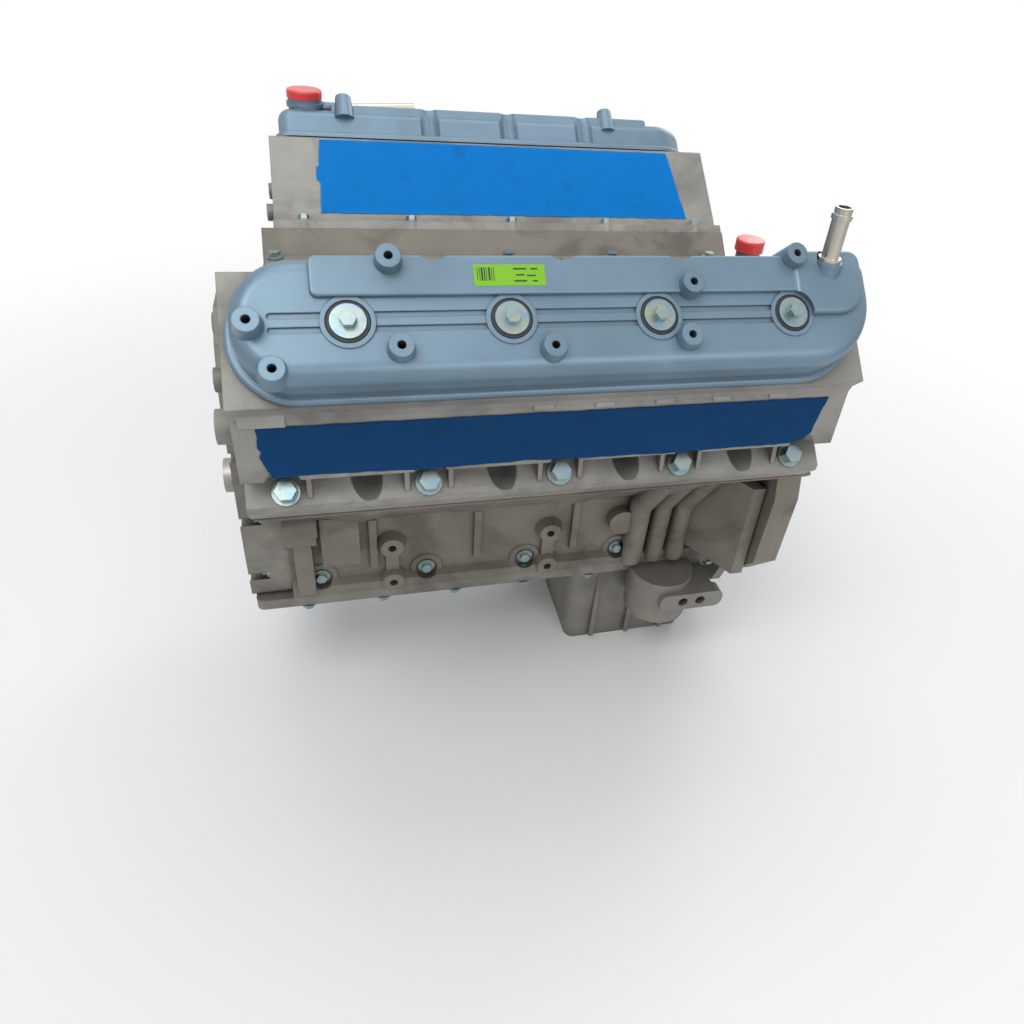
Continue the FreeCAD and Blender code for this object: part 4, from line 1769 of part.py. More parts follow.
def oil_pump_outer_rotor():
    root = ROTOR_PITCH_R - ROTOR_TOOTH_R + 2 * ROTOR_ECCENTRICITY + ROTOR_CLEARANCE
    ring = tube_x(PUMP_OUTER_R, root, 0, ROTOR_THICKNESS)
    teeth = []
    for i in range(ROTOR_LOBES + 1):
        turn = 2 * math.pi * i / (ROTOR_LOBES + 1)
        y, z = ROTOR_PITCH_R * math.sin(turn), -ROTOR_PITCH_R * math.cos(turn)
        teeth.append(rod_x(ROTOR_TOOTH_R, 0, ROTOR_THICKNESS, y, z))
    disc = rod_x(PUMP_OUTER_R, 0, ROTOR_THICKNESS)
    teeth = [tooth.common(disc) for tooth in teeth]
    return moved(fuse([ring] + teeth), PUMP_X[0], 0, rotor_axis_z())


def oil_pump_housing():
    """The pump's body and cover round the crankshaft nose, with its suction flange."""
    x0, x1 = PUMP_X
    body = rod_x(PUMP_OUTER_R + 8, x0 - 4, x1 + 4, 0, rotor_axis_z())
    legs = [box(x0 - 4, BLOCK_FRONT_X, sy - 9, sy + 9, -70, -46) for sy in (-34, 34)]
    ears = [rod_x(8, x1 - 4, BLOCK_FRONT_X, sy, 36) for sy in (-62, 62)]
    ear_arms = [box(x1 - 4, x1 + 4, min(0, sy), max(0, sy), 28, 44) for sy in (-62, 62)]
    reach = PICKUP_R + 4
    suction = box(x0 - 2, PICKUP_X + reach, PICKUP_Y - reach, PICKUP_Y + reach, -64, -40)
    body = fuse([body, suction] + legs + ears + ear_arms)
    tools = [
        rod_x(PUMP_OUTER_R + 0.08, x0, x1 + 0.0, 0, rotor_axis_z()),
        rod_x(SNOUT_R + 5, x0 - 10, x1 + 10),
        rod_z(PICKUP_R, -71, PICKUP_TOP_Z, PICKUP_X, PICKUP_Y),
        rod_z(PICKUP_R - PICKUP_WALL, -71, -46, PICKUP_X, PICKUP_Y),
        rod_x(PICKUP_R - PICKUP_WALL, x0 + 4, PICKUP_X, PICKUP_Y, -53),
    ]
    body = body.cut(tools)
    return max(body.Solids, key=lambda s: s.Volume)


# --- Oil pan and what is in it --------------------------------------------------------------------------------------
PAN_RAIL_THICKNESS = 12.0
SUMP_X = (-212.0, -36.0)
PAN_BOTTOM_Z = RAIL_Z - PAN_SUMP_DEPTH
FILTER_PLACE = (-108.0, -122.0)
FILTER_FACE_Z = -150.0
FILTER_NIPPLE_R = 9.0
FILTER_GRIP_R = 9.3
FILTER_BORE_R = 6.5
FILTER_STAND = 14.0
FILTER_GRIP = 16.0


def pan_section(x0, x1, half_top, half_bottom, z0, z1, shrink=0.0):
    """A tapered trough as a loft between its rim and its floor."""
    def ring(half, z, ends):
        return rounded_outline([(x0 + ends, -half), (x1 - ends, -half), (x1 - ends, half), (x0 + ends, half)],
                               [12 - shrink] * 4, z)
    return Part.makeLoft([ring(half_top - shrink, z1, shrink), ring(half_bottom - shrink, z0 + shrink, shrink + 8)],
                         True, True)


def oil_pan():
    rail_bottom = RAIL_Z - PAN_RAIL_THICKNESS
    front, rear = FRONT_COVER_X + 4, BELL_FACE_X
    rail = rounded_box(front, rear, -RAIL_HALF_WIDTH, RAIL_HALF_WIDTH, rail_bottom, RAIL_Z, 8)
    shallow = pan_section(front + 8, -60, 92, 78, RAIL_Z - PAN_SHALLOW_DEPTH, RAIL_Z - 4)
    sump = pan_section(SUMP_X[0], SUMP_X[1], 94, 84, PAN_BOTTOM_Z, RAIL_Z - 4)
    flange = prism_x([(RAIL_HALF_WIDTH, RAIL_Z), (RAIL_HALF_WIDTH, -104), (96, -150), (60, -172), (-60, -172),
                      (-96, -150), (-RAIL_HALF_WIDTH, -104), (-RAIL_HALF_WIDTH, RAIL_Z)], BELL_FACE_X - 12, BELL_FACE_X)
    web = box(SUMP_X[1] - 4, BELL_FACE_X - 6, -78, 78, -140, RAIL_Z - 8)
    x, y = FILTER_PLACE
    boss = rod_z(38, FILTER_FACE_Z, RAIL_Z - 2, x, y)
    neck = box(x - 30, x + 30, y, -70, FILTER_FACE_Z + 8, RAIL_Z - 10)
    cooler = rounded_box(-40, 40, -12, 12, 0, 16, 10)
    cooler = place(cooler, vec(-82, -150, -112), -Y_AXIS)
    arm = box(-112, -52, -152, -96, -122, -100)
    parts = [rail, shallow, sump, flange, web, boss, neck, arm, cooler]
    for rib_x in (SUMP_X[0] + 40, SUMP_X[0] + 88, SUMP_X[0] + 136):
        parts.append(box(rib_x - 3, rib_x + 3, -92, 92, PAN_BOTTOM_Z + 6, RAIL_Z - 6))
    parts.append(rod_x(9, front + 20, SUMP_X[0] + 20, -86, RAIL_Z - 18))
    parts.append(rod_z(16, PAN_BOTTOM_Z + 4, PAN_BOTTOM_Z + 40, SUMP_X[0] + 88, 88))
    outer = fuse(parts)
    hollow = [
        pan_section(front + 8, -60, 92, 78, RAIL_Z - PAN_SHALLOW_DEPTH, RAIL_Z + 1, PAN_WALL),
        pan_section(SUMP_X[0], SUMP_X[1], 94, 84, PAN_BOTTOM_Z, RAIL_Z + 1, PAN_WALL),
    ]
    tools = hollow + [rod_z(COVER_BOLT_R + HOLE_CLEARANCE, rail_bottom - 1, RAIL_Z + 1, *p) for p in pan_bolt_places()]
    tools.append(rod_z(FILTER_GRIP_R, FILTER_FACE_Z - 1, FILTER_FACE_Z + 25, x, y))
    for dx in (-11, 11):
        tools.append(Part.makeCylinder(6, 40, vec(-82 + dx, -167, -112), Y_AXIS))
    for i in range(6):
        turn = math.radians(60 * i)
        tools.append(rod_z(7, FILTER_FACE_Z - 1, FILTER_FACE_Z + 5, x + 22 * math.cos(turn), y + 22 * math.sin(turn)))
    tools.append(Part.makeCylinder(DRAIN_R, 60, drain_place(), -Y_AXIS))
    pan = outer.cut(tools)
    return max(pan.Solids, key=lambda s: s.Volume)


DRAIN_R = 6.0


def drain_place():
    return vec(SUMP_X[0] + 88, 105, PAN_BOTTOM_Z + 20)


def drain_plug():
    plug = flange_bolt(DRAIN_R - 0.02, 14, 15, 9, 11, 2.5)
    return place(plug, drain_place() - Y_AXIS, Y_AXIS)


def pan_bolt_places():
    xs = [BLOCK_FRONT_X + 14 + i * (BLOCK_REAR_X - 16 - BLOCK_FRONT_X - 14) / 6 for i in range(7)]
    line = RAIL_HALF_WIDTH - 6
    return [(x, y) for x in xs for y in (-line, line) if y > 0 or abs(x - FILTER_PLACE[0]) > 48]


def oil_filter_nipple():
    x, y = FILTER_PLACE
    thread = rod_z(FILTER_NIPPLE_R, FILTER_FACE_Z - FILTER_STAND, FILTER_FACE_Z, x, y)
    grip = rod_z(FILTER_GRIP_R, FILTER_FACE_Z, FILTER_FACE_Z + FILTER_GRIP, x, y)
    bore = rod_z(FILTER_BORE_R, FILTER_FACE_Z - FILTER_STAND - 1, FILTER_FACE_Z + FILTER_GRIP + 1, x, y)
    return thread.fuse(grip).cut(bore)


TRAY_Z = CAP_BOTTOM_Z - 8.0
TRAY_THICKNESS = 1.5


def windage_tray():
    """A slotted sheet tray that rests on the main cap bolts and keeps oil off the crankshaft."""
    x0, x1 = MAIN_X[0] - 10, MAIN_X[4] - 12
    tray = box(x0, x1, -80, 80, TRAY_Z - TRAY_THICKNESS, TRAY_Z)
    slots = []
    for x in PIN_X:
        slots += [rounded_box(x - 32, x + 32, y - 7, y + 7, TRAY_Z - 3, TRAY_Z + 1, 6) for y in (-52, -18, 18, 52)]
    return tray.cut(slots)


PICKUP_RUN_Z = TRAY_Z - 13.0
SCREEN_X = -160.0
SCREEN_R = 27.0
SCREEN_Z = PAN_BOTTOM_Z + PAN_WALL + 12.0


def pickup_path():
    """The tube's centre line: down from the pump, back under the tray and down into the sump."""
    r = PICKUP_BEND
    slant = r * (1 - S)
    y = PICKUP_Y
    first = [vec(PICKUP_X, y, PICKUP_RUN_Z + r), vec(PICKUP_X + slant, y, PICKUP_RUN_Z + slant),
             vec(PICKUP_X + r, y, PICKUP_RUN_Z)]
    second = [vec(SCREEN_X - r, y, PICKUP_RUN_Z), vec(SCREEN_X - slant, y, PICKUP_RUN_Z - slant),
              vec(SCREEN_X, y, PICKUP_RUN_Z - r)]
    return Part.Wire([
        Part.makeLine(vec(PICKUP_X, y, PICKUP_TOP_Z), first[0]),
        Part.Arc(*first).toShape(),
        Part.makeLine(first[2], second[0]),
        Part.Arc(*second).toShape(),
        Part.makeLine(second[2], vec(SCREEN_X, y, SCREEN_Z + 10)),
    ])


def oil_pickup_tube():
    """The suction tube from the pump to its screen in the sump, with the tab that hangs it."""
    path = pickup_path()
    start = vec(PICKUP_X, PICKUP_Y, PICKUP_TOP_Z)
    pipes = []
    for radius in (PICKUP_R - 0.02, PICKUP_R - PICKUP_WALL):
        ring = Part.Wire(Part.makeCircle(radius, start, Z_AXIS))
        pipes.append(path.makePipeShell([ring], True, True))
    screen = Part.makeCone(SCREEN_R, PICKUP_R + 2, 22, vec(SCREEN_X, PICKUP_Y, SCREEN_Z))
    mouth = Part.makeCone(SCREEN_R - 2, PICKUP_R - PICKUP_WALL, 20, vec(SCREEN_X, PICKUP_Y, SCREEN_Z - 0.1))
    mesh = rod_z(SCREEN_R - 1, SCREEN_Z, SCREEN_Z + 1.2, SCREEN_X, PICKUP_Y)
    tab = box(MAIN_X[3] - 9, MAIN_X[3] + 9, PICKUP_Y - 14, PICKUP_Y + 14, PICKUP_RUN_Z + 4, TRAY_Z - TRAY_THICKNESS)
    body = fuse([pipes[0], screen, tab]).cut([pipes[1], mouth])
    return body.fuse(mesh)


def port_film(side, low, high, x0, x1, thickness, outset):
    """A sheet of protective film stuck over a port face; low and high are (v, height) along that face."""
    a = (low[0], HEAD_BASE + low[1])
    b = (high[0], HEAD_BASE + high[1])
    length = math.hypot(b[0] - a[0], b[1] - a[1])
    normal = ((b[1] - a[1]) / length * outset, -(b[0] - a[0]) / length * outset)
    corners = [a, b, (b[0] + normal[0] * thickness, b[1] + normal[1] * thickness),
               (a[0] + normal[0] * thickness, a[1] + normal[1] * thickness)]
    return on_bank(prism_x(corners, x0, x1), side)


FILM = 0.6
FILM_FRONT_END = 17.0
FILM_REAR_END = 3.0
FILM_TOP = (27.5, 90.5)


def intake_port_films():
    low = INTAKE_FACE_LOW
    high = INTAKE_FACE_HIGH
    x = BANK_HALF_LENGTH - 30
    return [port_film(side, low, high, -x, x, FILM, -1) for side in (LEFT, RIGHT)]


def exhaust_port_films():
    front = BANK_HALF_LENGTH - FILM_FRONT_END
    rear = BANK_HALF_LENGTH - FILM_REAR_END
    reach = {LEFT: (-rear, front), RIGHT: (-front, rear)}
    return [port_film(side, EXHAUST_FACE_LOW, FILM_TOP, *reach[side], FILM, 1) for side in (LEFT, RIGHT)]


# --- Caps and breather fittings ----------------------------------------------------------------------------------------
CAP_CLEARANCE = 0.3


def oil_filler_cap():
    """The plug-in cap of the filler neck."""
    foot = filler_neck_place()
    top = rod_z(FILLER_R + 4, NECK_TOP_Z + 0.05, NECK_TOP_Z + 9, foot.x, foot.y)
    edge = [e for e in top.Edges if all(abs(v.Z - NECK_TOP_Z - 9) < 0.01 for v in e.Vertexes)]
    top = top.makeFillet(2.5, edge)
    skirt = tube_z(FILLER_R - 1.5 - CAP_CLEARANCE, FILLER_R - 4.5, NECK_TOP_Z - 12, NECK_TOP_Z + 1, foot.x, foot.y)
    return top.fuse(skirt)


def red_port_cap():
    """The push-on cap over the tall port at the rear of the valley cover."""
    outer = rod_z(RED_PORT_R + 4, RED_PORT_TOP - 8, RED_PORT_TOP + 4, *RED_PORT)
    edge = [e for e in outer.Edges if all(abs(v.Z - RED_PORT_TOP - 4) < 0.01 for v in e.Vertexes)]
    outer = outer.makeFillet(2, edge)
    return outer.cut(rod_z(RED_PORT_R + 1.5 + CAP_CLEARANCE, RED_PORT_TOP - 9, RED_PORT_TOP + 0.05, *RED_PORT))


def breather_nipple():
    """The hose nipple pressed upright into the left cover's separator."""
    x, y = NIPPLE_PLACE
    top = NIPPLE_FOOT_Z + NIPPLE_LENGTH
    bead = rod_z(NIPPLE_R + 1.2, top - 9, top - 5, x, y)
    collar = rod_z(NIPPLE_R + 2, NIPPLE_FOOT_Z, NIPPLE_FOOT_Z + 3, x, y)
    tube = rod_z(NIPPLE_R - 0.02, NIPPLE_FOOT_Z - NIPPLE_GRIP, top, x, y)
    return fuse([tube, bead, collar]).cut(rod_z(NIPPLE_R - NIPPLE_WALL, NIPPLE_FOOT_Z - 20, top + 1, x, y))


def breather_pipe():
    """The steel vent pipe that leaves the filler neck and runs back along the right cover."""
    foot = filler_neck_place()
    z = foot.z + VENT_ABOVE_FOOT
    start = vec(foot.x + VENT_START, foot.y, z)
    end = vec(foot.x + 122, foot.y + 4, z + 4)
    pipe = rod(5, start, end).cut(rod(3.5, start - X_AXIS, end + X_AXIS * 2))
    return pipe


# --- All nodes ------------------------------------------------------------------------------------------------------------
def main():
    os.makedirs("parts", exist_ok=True)
    export("engine_block", engine_block())
    export("cylinder_liners", cylinder_liners())
    export("main_bearing_caps", main_bearing_caps())
    export("main_bearing_shells", main_bearing_shells())
    export("main_cap_bolts", main_cap_bolts())
    export("side_cap_bolts", side_cap_bolts())
    export("cam_bearings", cam_bearings())
    export("core_plugs", core_plugs())
    export("dowel_pins", dowel_pins())
    export("crankshaft", crankshaft())
    export("reluctor_wheel", reluctor_wheel())
    export("connecting_rods", connecting_rods())
    for number, pieces in pistons().items():
        export(f"piston_{number}", pieces)
    export("camshaft", camshaft())
    export("valve_lifters", valve_lifters())
    export("lifter_guides", lifter_guides())
    export("pushrods", pushrods())
    export("rocker_arms", rocker_arms())
    export("rocker_stands", rocker_stands())
    export("intake_valves", valves("intake"))
    export("exhaust_valves", valves("exhaust"))
    export("valve_springs", valve_springs())
    heads = cylinder_heads()
    export("left_cylinder_head", heads[LEFT])
    export("right_cylinder_head", heads[RIGHT])
    export("head_gaskets", head_gaskets())
    export("head_bolts", head_bolts())
    export("left_rocker_cover", left_rocker_cover())
    export("right_rocker_cover", right_rocker_cover())
    export("cover_gaskets", rocker_cover_gaskets() + [valley_cover_gasket()])
    export("rocker_cover_grommets", rocker_cover_grommets())
    export("rocker_cover_bolts", rocker_cover_bolts())
    export("valley_cover", valley_cover())
    export("front_cover", front_cover())
    export("rear_cover", rear_cover())
    export("crank_seals", [front_seal(), rear_seal()])
    export("cover_and_pan_bolts", cover_and_pan_bolts())
    export("crank_sprocket", crank_sprocket())
    export("cam_sprocket", [cam_sprocket()] + cam_sprocket_bolts())
    export("timing_chain", timing_chain())
    export("chain_damper", chain_damper())
    export("cam_retainer_plate", cam_retainer_plate())
    export("oil_pump_housing", oil_pump_housing())
    export("oil_pump_inner_rotor", oil_pump_inner_rotor())
    export("oil_pump_outer_rotor", oil_pump_outer_rotor())
    export("oil_pan", oil_pan())
    export("drain_plug", drain_plug())
    export("oil_filter_nipple", oil_filter_nipple())
    export("windage_tray", windage_tray())
    export("oil_pickup_tube", oil_pickup_tube())
    export("port_films", intake_port_films() + exhaust_port_films())
    export("oil_filler_cap", oil_filler_cap())
    export("red_port_cap", red_port_cap())
    export("breather_fittings", [breather_nipple(), breather_pipe()])


main()
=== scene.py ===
import json
import math

import bmesh
import bpy
from mathutils import Matrix, Vector, noise


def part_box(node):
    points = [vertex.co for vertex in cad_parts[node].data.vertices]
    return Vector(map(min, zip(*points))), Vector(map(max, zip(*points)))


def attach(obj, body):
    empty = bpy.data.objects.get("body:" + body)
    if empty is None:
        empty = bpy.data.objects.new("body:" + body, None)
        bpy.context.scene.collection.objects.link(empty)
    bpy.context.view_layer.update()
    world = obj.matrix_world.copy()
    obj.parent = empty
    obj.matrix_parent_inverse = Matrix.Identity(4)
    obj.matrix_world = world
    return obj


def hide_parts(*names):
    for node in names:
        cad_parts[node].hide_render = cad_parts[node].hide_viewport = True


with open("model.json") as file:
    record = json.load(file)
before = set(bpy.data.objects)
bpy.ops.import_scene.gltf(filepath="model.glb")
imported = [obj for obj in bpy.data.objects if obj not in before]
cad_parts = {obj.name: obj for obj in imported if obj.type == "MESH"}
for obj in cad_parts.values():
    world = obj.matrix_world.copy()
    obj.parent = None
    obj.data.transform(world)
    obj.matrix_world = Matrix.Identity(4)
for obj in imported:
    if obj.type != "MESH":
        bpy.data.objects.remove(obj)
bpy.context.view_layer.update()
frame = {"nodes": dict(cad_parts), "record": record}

bl_info = {
    "name": "V8 engine dressing",
    "version": (1, 0, 0),
    "blender": (4, 5, 0),
    "location": "3D View > Sidebar > Engine",
    "description": "Finishes, films and small details for a bare V8 engine assembly",
    "category": "Object",
}

MM = 0.001
SLANT = math.sqrt(0.5)
LEFT = -1
RIGHT = 1
# The middle of each bank along the engine, and the bores from there, in millimetres
BANK_CENTRE = {LEFT: -287.7, RIGHT: -263.3}
CYLINDERS = (-167.64, -55.88, 55.88, 167.64)
# Port faces of a head as (v, u) at the low and the high edge, in millimetres
EXHAUST_FACE = ((61.0, 293.0), (23.0, 331.0))
INTAKE_FACE = ((-90.0, 260.0), (-81.0, 352.0))
# Radii in metres to which the finishes soften edges
CAST_EDGE = 0.0012
PLATED_EDGE = 0.0006
TURNED_EDGE = 0.0005


# --- Places ---------------------------------------------------------------------------------------
def bank_point(side, x, v, u):
    """A place on one bank in metres: x runs along the engine, v to the exhaust, u up the bores."""
    return Vector((x * MM, side * SLANT * (u + v) * MM, SLANT * (u - v) * MM))


def bank_turn(side, x, v, u):
    """The matrix that stands a flat piece on a bank, its X along, Y towards the valley and Z up."""
    across = bank_point(side, 0, -1, 0).normalized()
    upward = bank_point(side, 0, 0, 1).normalized()
    along = across.cross(upward)
    turn = Matrix((along, across, upward)).transposed().to_4x4()
    return Matrix.Translation(bank_point(side, x, v, u)) @ turn


def along_engine(side, local):
    """Where a length lies along the engine, measured from a bank's middle on its own way round."""
    return BANK_CENTRE[side] + side * local


def between(points, where):
    """Reads a broken line given as (position, value) pairs."""
    for (a, low), (b, high) in zip(points, points[1:]):
        if where <= b:
            return low + (high - low) * max(0.0, where - a) / (b - a)
    return points[-1][1]


# --- Shader maths ---------------------------------------------------------------------------------
class Signal:
    """One output of a shader node; sums, differences and products of it add Math nodes."""

    def __init__(self, finish, socket):
        self.finish = finish
        self.socket = socket

    def _maths(self, operation, first, second):
        settings = {"operation": operation}
        return self.finish.node("ShaderNodeMath", settings, {0: first, 1: second})

    def __add__(self, other):
        return self._maths("ADD", self, other)

    def __radd__(self, other):
        return self._maths("ADD", other, self)

    def __rsub__(self, other):
        return self._maths("SUBTRACT", other, self)

    def __mul__(self, other):
        return self._maths("MULTIPLY", self, other)


class Finish:
    """One procedural material, written as a recipe of nodes."""

    def __init__(self, name, **surface):
        self.material = bpy.data.materials.new(name)
        self.material.use_nodes = True
        self.tree = self.material.node_tree
        self.shader = self.tree.nodes["Principled BSDF"]
        self.coords = self.node("ShaderNodeTexCoord", out="Object")
        self.feed(**surface)

    def node(self, kind, settings=None, inputs=None, out=0):
        """Adds a node: its settings first, then the values or links of its sockets."""
        made = self.tree.nodes.new(kind)
        for key, value in (settings or {}).items():
            if key == "stops":
                self._stops(made.color_ramp.elements, value)
            else:
                setattr(made, key, value)
        for key, value in (inputs or {}).items():
            if isinstance(value, Signal):
                self.tree.links.new(value.socket, made.inputs[key])
            else:
                made.inputs[key].default_value = value
        return Signal(self, made.outputs[out])

    def _stops(self, elements, stops):
        """Sets a ramp's stops, given as (position, grey level) pairs."""
        while len(elements) < len(stops):
            elements.new(1.0)
        for element, (position, level) in zip(elements, stops):
            element.position = position
            element.color = (level, level, level, 1.0)

    def feed(self, **surface):
        """Sets or links sockets of the surface shader, such as Base_Color or Roughness."""
        for key, value in surface.items():
            socket = self.shader.inputs[key.replace("_", " ")]
            if isinstance(value, Signal):
                self.tree.links.new(value.socket, socket)
            elif key.endswith("Color"):
                socket.default_value = (*value, 1.0)
            else:
                socket.default_value = value

    def noise(self, scale, detail, roughness, vector=None, distortion=0.0):
        """Cloudy noise, its scale in waves per metre unless a stretched vector sets it."""
        inputs = {
            "Vector": vector or self.coords,
            "Scale": scale,
            "Detail": detail,
            "Roughness": roughness,
            "Distortion": distortion,
        }
        return self.node("ShaderNodeTexNoise", {}, inputs)

    def cells(self, scale, vector=None, feature="F1"):
        """Distance to the middles of random cells."""
        inputs = {"Vector": vector or self.coords, "Scale": scale}
        return self.node("ShaderNodeTexVoronoi", {"feature": feature}, inputs, "Distance")

    def stretched(self, scale, turn=(0.0, 0.0, 0.0)):
        """The piece's own coordinates, scaled and turned for each axis."""
        inputs = {"Vector": self.coords, "Scale": scale, "Rotation": turn}
        return self.node("ShaderNodeMapping", {}, inputs)

    def ramp(self, value, *stops):
        """Turns a value into grey levels through (position, level) stops."""
        return self.node("ShaderNodeValToRGB", {"stops": stops}, {"Fac": value})

    def blend(self, mask, first, second):
        """Goes from the first colour to the second where the mask goes from 0 to 1."""
        settings = {"data_type": "RGBA", "blend_type": "MIX"}
        ends = [value if isinstance(value, Signal) else (*value, 1.0) for value in (first, second)]
        return self.node("ShaderNodeMix", settings, {0: mask, 6: ends[0], 7: ends[1]}, 2)

    def bump(self, height, depth, strength, normal=None):
        """A surface normal raised by a height signal, up to a depth in metres."""
        inputs = {"Height": height, "Distance": depth, "Strength": strength}
        if normal:
            inputs["Normal"] = normal
        return self.node("ShaderNodeBump", {}, inputs, "Normal")

    def recess_shade(self, reach):
        """Close to 1 in corners and recesses, 0 on open faces: an occlusion mask for painted shade.
        """
        settings = {"samples": 6}
        shade = self.node("ShaderNodeAmbientOcclusion", settings, {"Distance": reach}, "AO")
        return 1.0 - shade

    def soft_edges(self, radius):
        """A surface normal that rounds the edges to this radius."""
        return self.node("ShaderNodeBevel", {"samples": 4}, {"Radius": radius})


def tint(colour, factor):
    """A colour made darker or lighter by a factor."""
    return tuple(min(1.0, channel * factor) for channel in colour)


# --- Finishes -------------------------------------------------------------------------------------
def sand_casting(name, colour, grime_and_shade, grain=0.00022, roughness=0.5, dirt_and_shade=0.8, metal=0.3):
    """Sand-cast metal: grainy skin, cloudy tone, small pits, stains, and oily soiling with painted
    shade in corners.
    """
    finish = Finish(name, Metallic=metal)
    clouds = finish.ramp(finish.noise(17.0, 5.0, 0.62), (0.32, 0.0), (0.7, 1.0))
    specks = finish.noise(900.0, 2.0, 0.6)
    skin = finish.noise(1500.0, 3.0, 0.7)
    pits = finish.ramp(finish.cells(330.0), (0.06, 0.0), (0.2, 1.0))
    base = finish.blend(clouds, tint(colour, 0.8), tint(colour, 1.14))
    base = finish.blend(specks * 0.35, base, tint(colour, 0.62))
    stained = finish.noise(9.0, 6.0, 0.66, distortion=0.8)
    stains = finish.ramp(stained, (0.46, 0.0), (0.6, 1.0))
    base = finish.blend(stains * dirt_and_shade * 0.8, base, tint(colour, 0.38))
    # Painted shade: an occlusion mask, broken up by noise, darkens corners and recesses towards the
    # corner colour.
    corners = finish.ramp(finish.recess_shade(0.018), (0.12, 0.0), (0.75, 1.0))
    film = corners * (finish.noise(60.0, 4.0, 0.6) * 0.9 + 0.35) * dirt_and_shade
    base = finish.blend(film, base, grime_and_shade)
    finish.feed(Base_Color=base, Roughness=roughness + clouds * 0.12 + film * 0.12)
    smooth = finish.soft_edges(CAST_EDGE)
    finish.feed(Normal=finish.bump(skin * 0.8 + pits * 0.2, grain * 2.2, 0.9, smooth))
    return finish.material


def smooth_casting(name, colour, grime_and_shade):
    """Die-cast aluminium: satin skin, flow clouds, fine scuffs and painted shade in the grooves."""
    finish = Finish(name, Metallic=0.45)
    flow = finish.noise(11.0, 4.0, 0.55, distortion=0.6)
    clouds = finish.ramp(flow, (0.3, 0.0), (0.72, 1.0))
    grain = finish.noise(1300.0, 2.0, 0.6)
    long_way = finish.stretched((9.0, 260.0, 260.0), (0.0, 0.0, 0.35))
    scuffs = finish.ramp(finish.noise(1.0, 6.0, 0.7, long_way), (0.6, 0.0), (0.8, 1.0))
    base = finish.blend(clouds, tint(colour, 0.86), tint(colour, 1.12))
    base = finish.blend(scuffs * 0.25, base, tint(colour, 1.45))
    # Painted shade: an occlusion mask darkens grooves and recesses towards the corner colour.
    corners = finish.ramp(finish.recess_shade(0.012), (0.16, 0.0), (0.8, 1.0))
    base = finish.blend(corners * 0.62, base, grime_and_shade)
    finish.feed(Base_Color=base, Roughness=0.36 + clouds * 0.1 + scuffs * 0.08)
    smooth = finish.soft_edges(CAST_EDGE)
    ripple = finish.noise(45.0, 3.0, 0.5) * 0.5 + grain * 0.12
    finish.feed(Normal=finish.bump(ripple, 0.0005, 0.5, smooth))
    return finish.material


def turned_metal(name, colour, roughness, lines=1600.0):
    """Machined or plated metal: tool lines along the part, light tarnish and a soft shine."""
    finish = Finish(name, Metallic=1.0)
    tarnish = finish.ramp(finish.noise(70.0, 4.0, 0.6), (0.35, 0.0), (0.75, 1.0))
    cuts = finish.noise(1.0, 2.0, 0.5, finish.stretched((lines, 14.0, 14.0)))
    base = finish.blend(tarnish * 0.4, colour, tint(colour, 0.6))
    finish.feed(Base_Color=base, Roughness=roughness + tarnish * 0.16 + cuts * 0.1)
    smooth = finish.soft_edges(TURNED_EDGE)
    finish.feed(Normal=finish.bump(cuts, 0.00006, 0.6, smooth))
    return finish.material


def zinc_plating(name, colour, straw, corner_shade):
    """Bright zinc with a faint straw bloom, small handling marks and painted shade in the corners.
    """
    finish = Finish(name, Metallic=1.0)
    bloom = finish.noise(120.0, 2.0, 0.5)
    marks = finish.ramp(finish.noise(500.0, 5.0, 0.7), (0.55, 0.0), (0.7, 1.0))
    base = finish.blend(finish.ramp(bloom, (0.35, 0.0), (0.65, 1.0)), colour, straw)
    base = finish.blend(marks * 0.4, base, tint(colour, 0.6))
    # Painted shade: an occlusion mask darkens the bolts' corners towards the corner shade colour.
    corners = finish.ramp(finish.recess_shade(0.006), (0.2, 0.0), (0.85, 1.0))
    base = finish.blend(corners * 0.5, base, corner_shade)
    finish.feed(Base_Color=base, Roughness=0.27 + marks * 0.2 + bloom * 0.1)
    finish.feed(Normal=finish.bump(bloom, 0.0001, 0.5, finish.soft_edges(PLATED_EDGE)))
    return finish.material


def moulded(name, colour, roughness, grain=700.0, depth=0.00008, coat=0.0):
    """Moulded rubber or plastic, or ink: fine skin and a slight change of tone."""
    finish = Finish(name, Coat_Weight=coat, Coat_Roughness=0.15)
    tone = finish.noise(90.0, 4.0, 0.6)
    skin = finish.noise(grain, 3.0, 0.6)
    base = finish.blend(tone, tint(colour, 0.75), tint(colour, 1.2))
    finish.feed(Base_Color=base, Roughness=roughness + tone * 0.15)
    finish.feed(Normal=finish.bump(skin, depth, 0.7, finish.soft_edges(PLATED_EDGE)))
    return finish.material


def shipping_film(name, colour):
    """Thin blue film pressed over a port face: stretch creases, air pockets and dull marks."""
    finish = Finish(name, Specular_IOR_Level=0.16)
    drape = finish.noise(1.0, 4.0, 0.6, finish.stretched((22.0, 34.0, 70.0)), 1.2)
    pockets = finish.noise(75.0, 3.0, 0.5)
    slanting = finish.stretched((26.0, 80.0, 80.0), (0.4, 0.0, 0.2))
    pulls = finish.cells(1.0, slanting, "SMOOTH_F1")
    marks = finish.ramp(finish.noise(34.0, 3.0, 0.5), (0.6, 0.0), (0.72, 1.0))
    folds = finish.ramp(drape, (0.35, 0.0), (0.7, 1.0))
    base = finish.blend(folds * 0.3, colour, tint(colour, 0.84))
    base = finish.blend(marks * 0.35, base, tint(colour, 0.7))
    finish.feed(Base_Color=base, Roughness=0.42 + pockets * 0.14)
    height = drape * 0.55 + pulls * 0.25 + pockets * 0.2
    finish.feed(Normal=finish.bump(height, 0.0009, 0.45))
    return finish.material


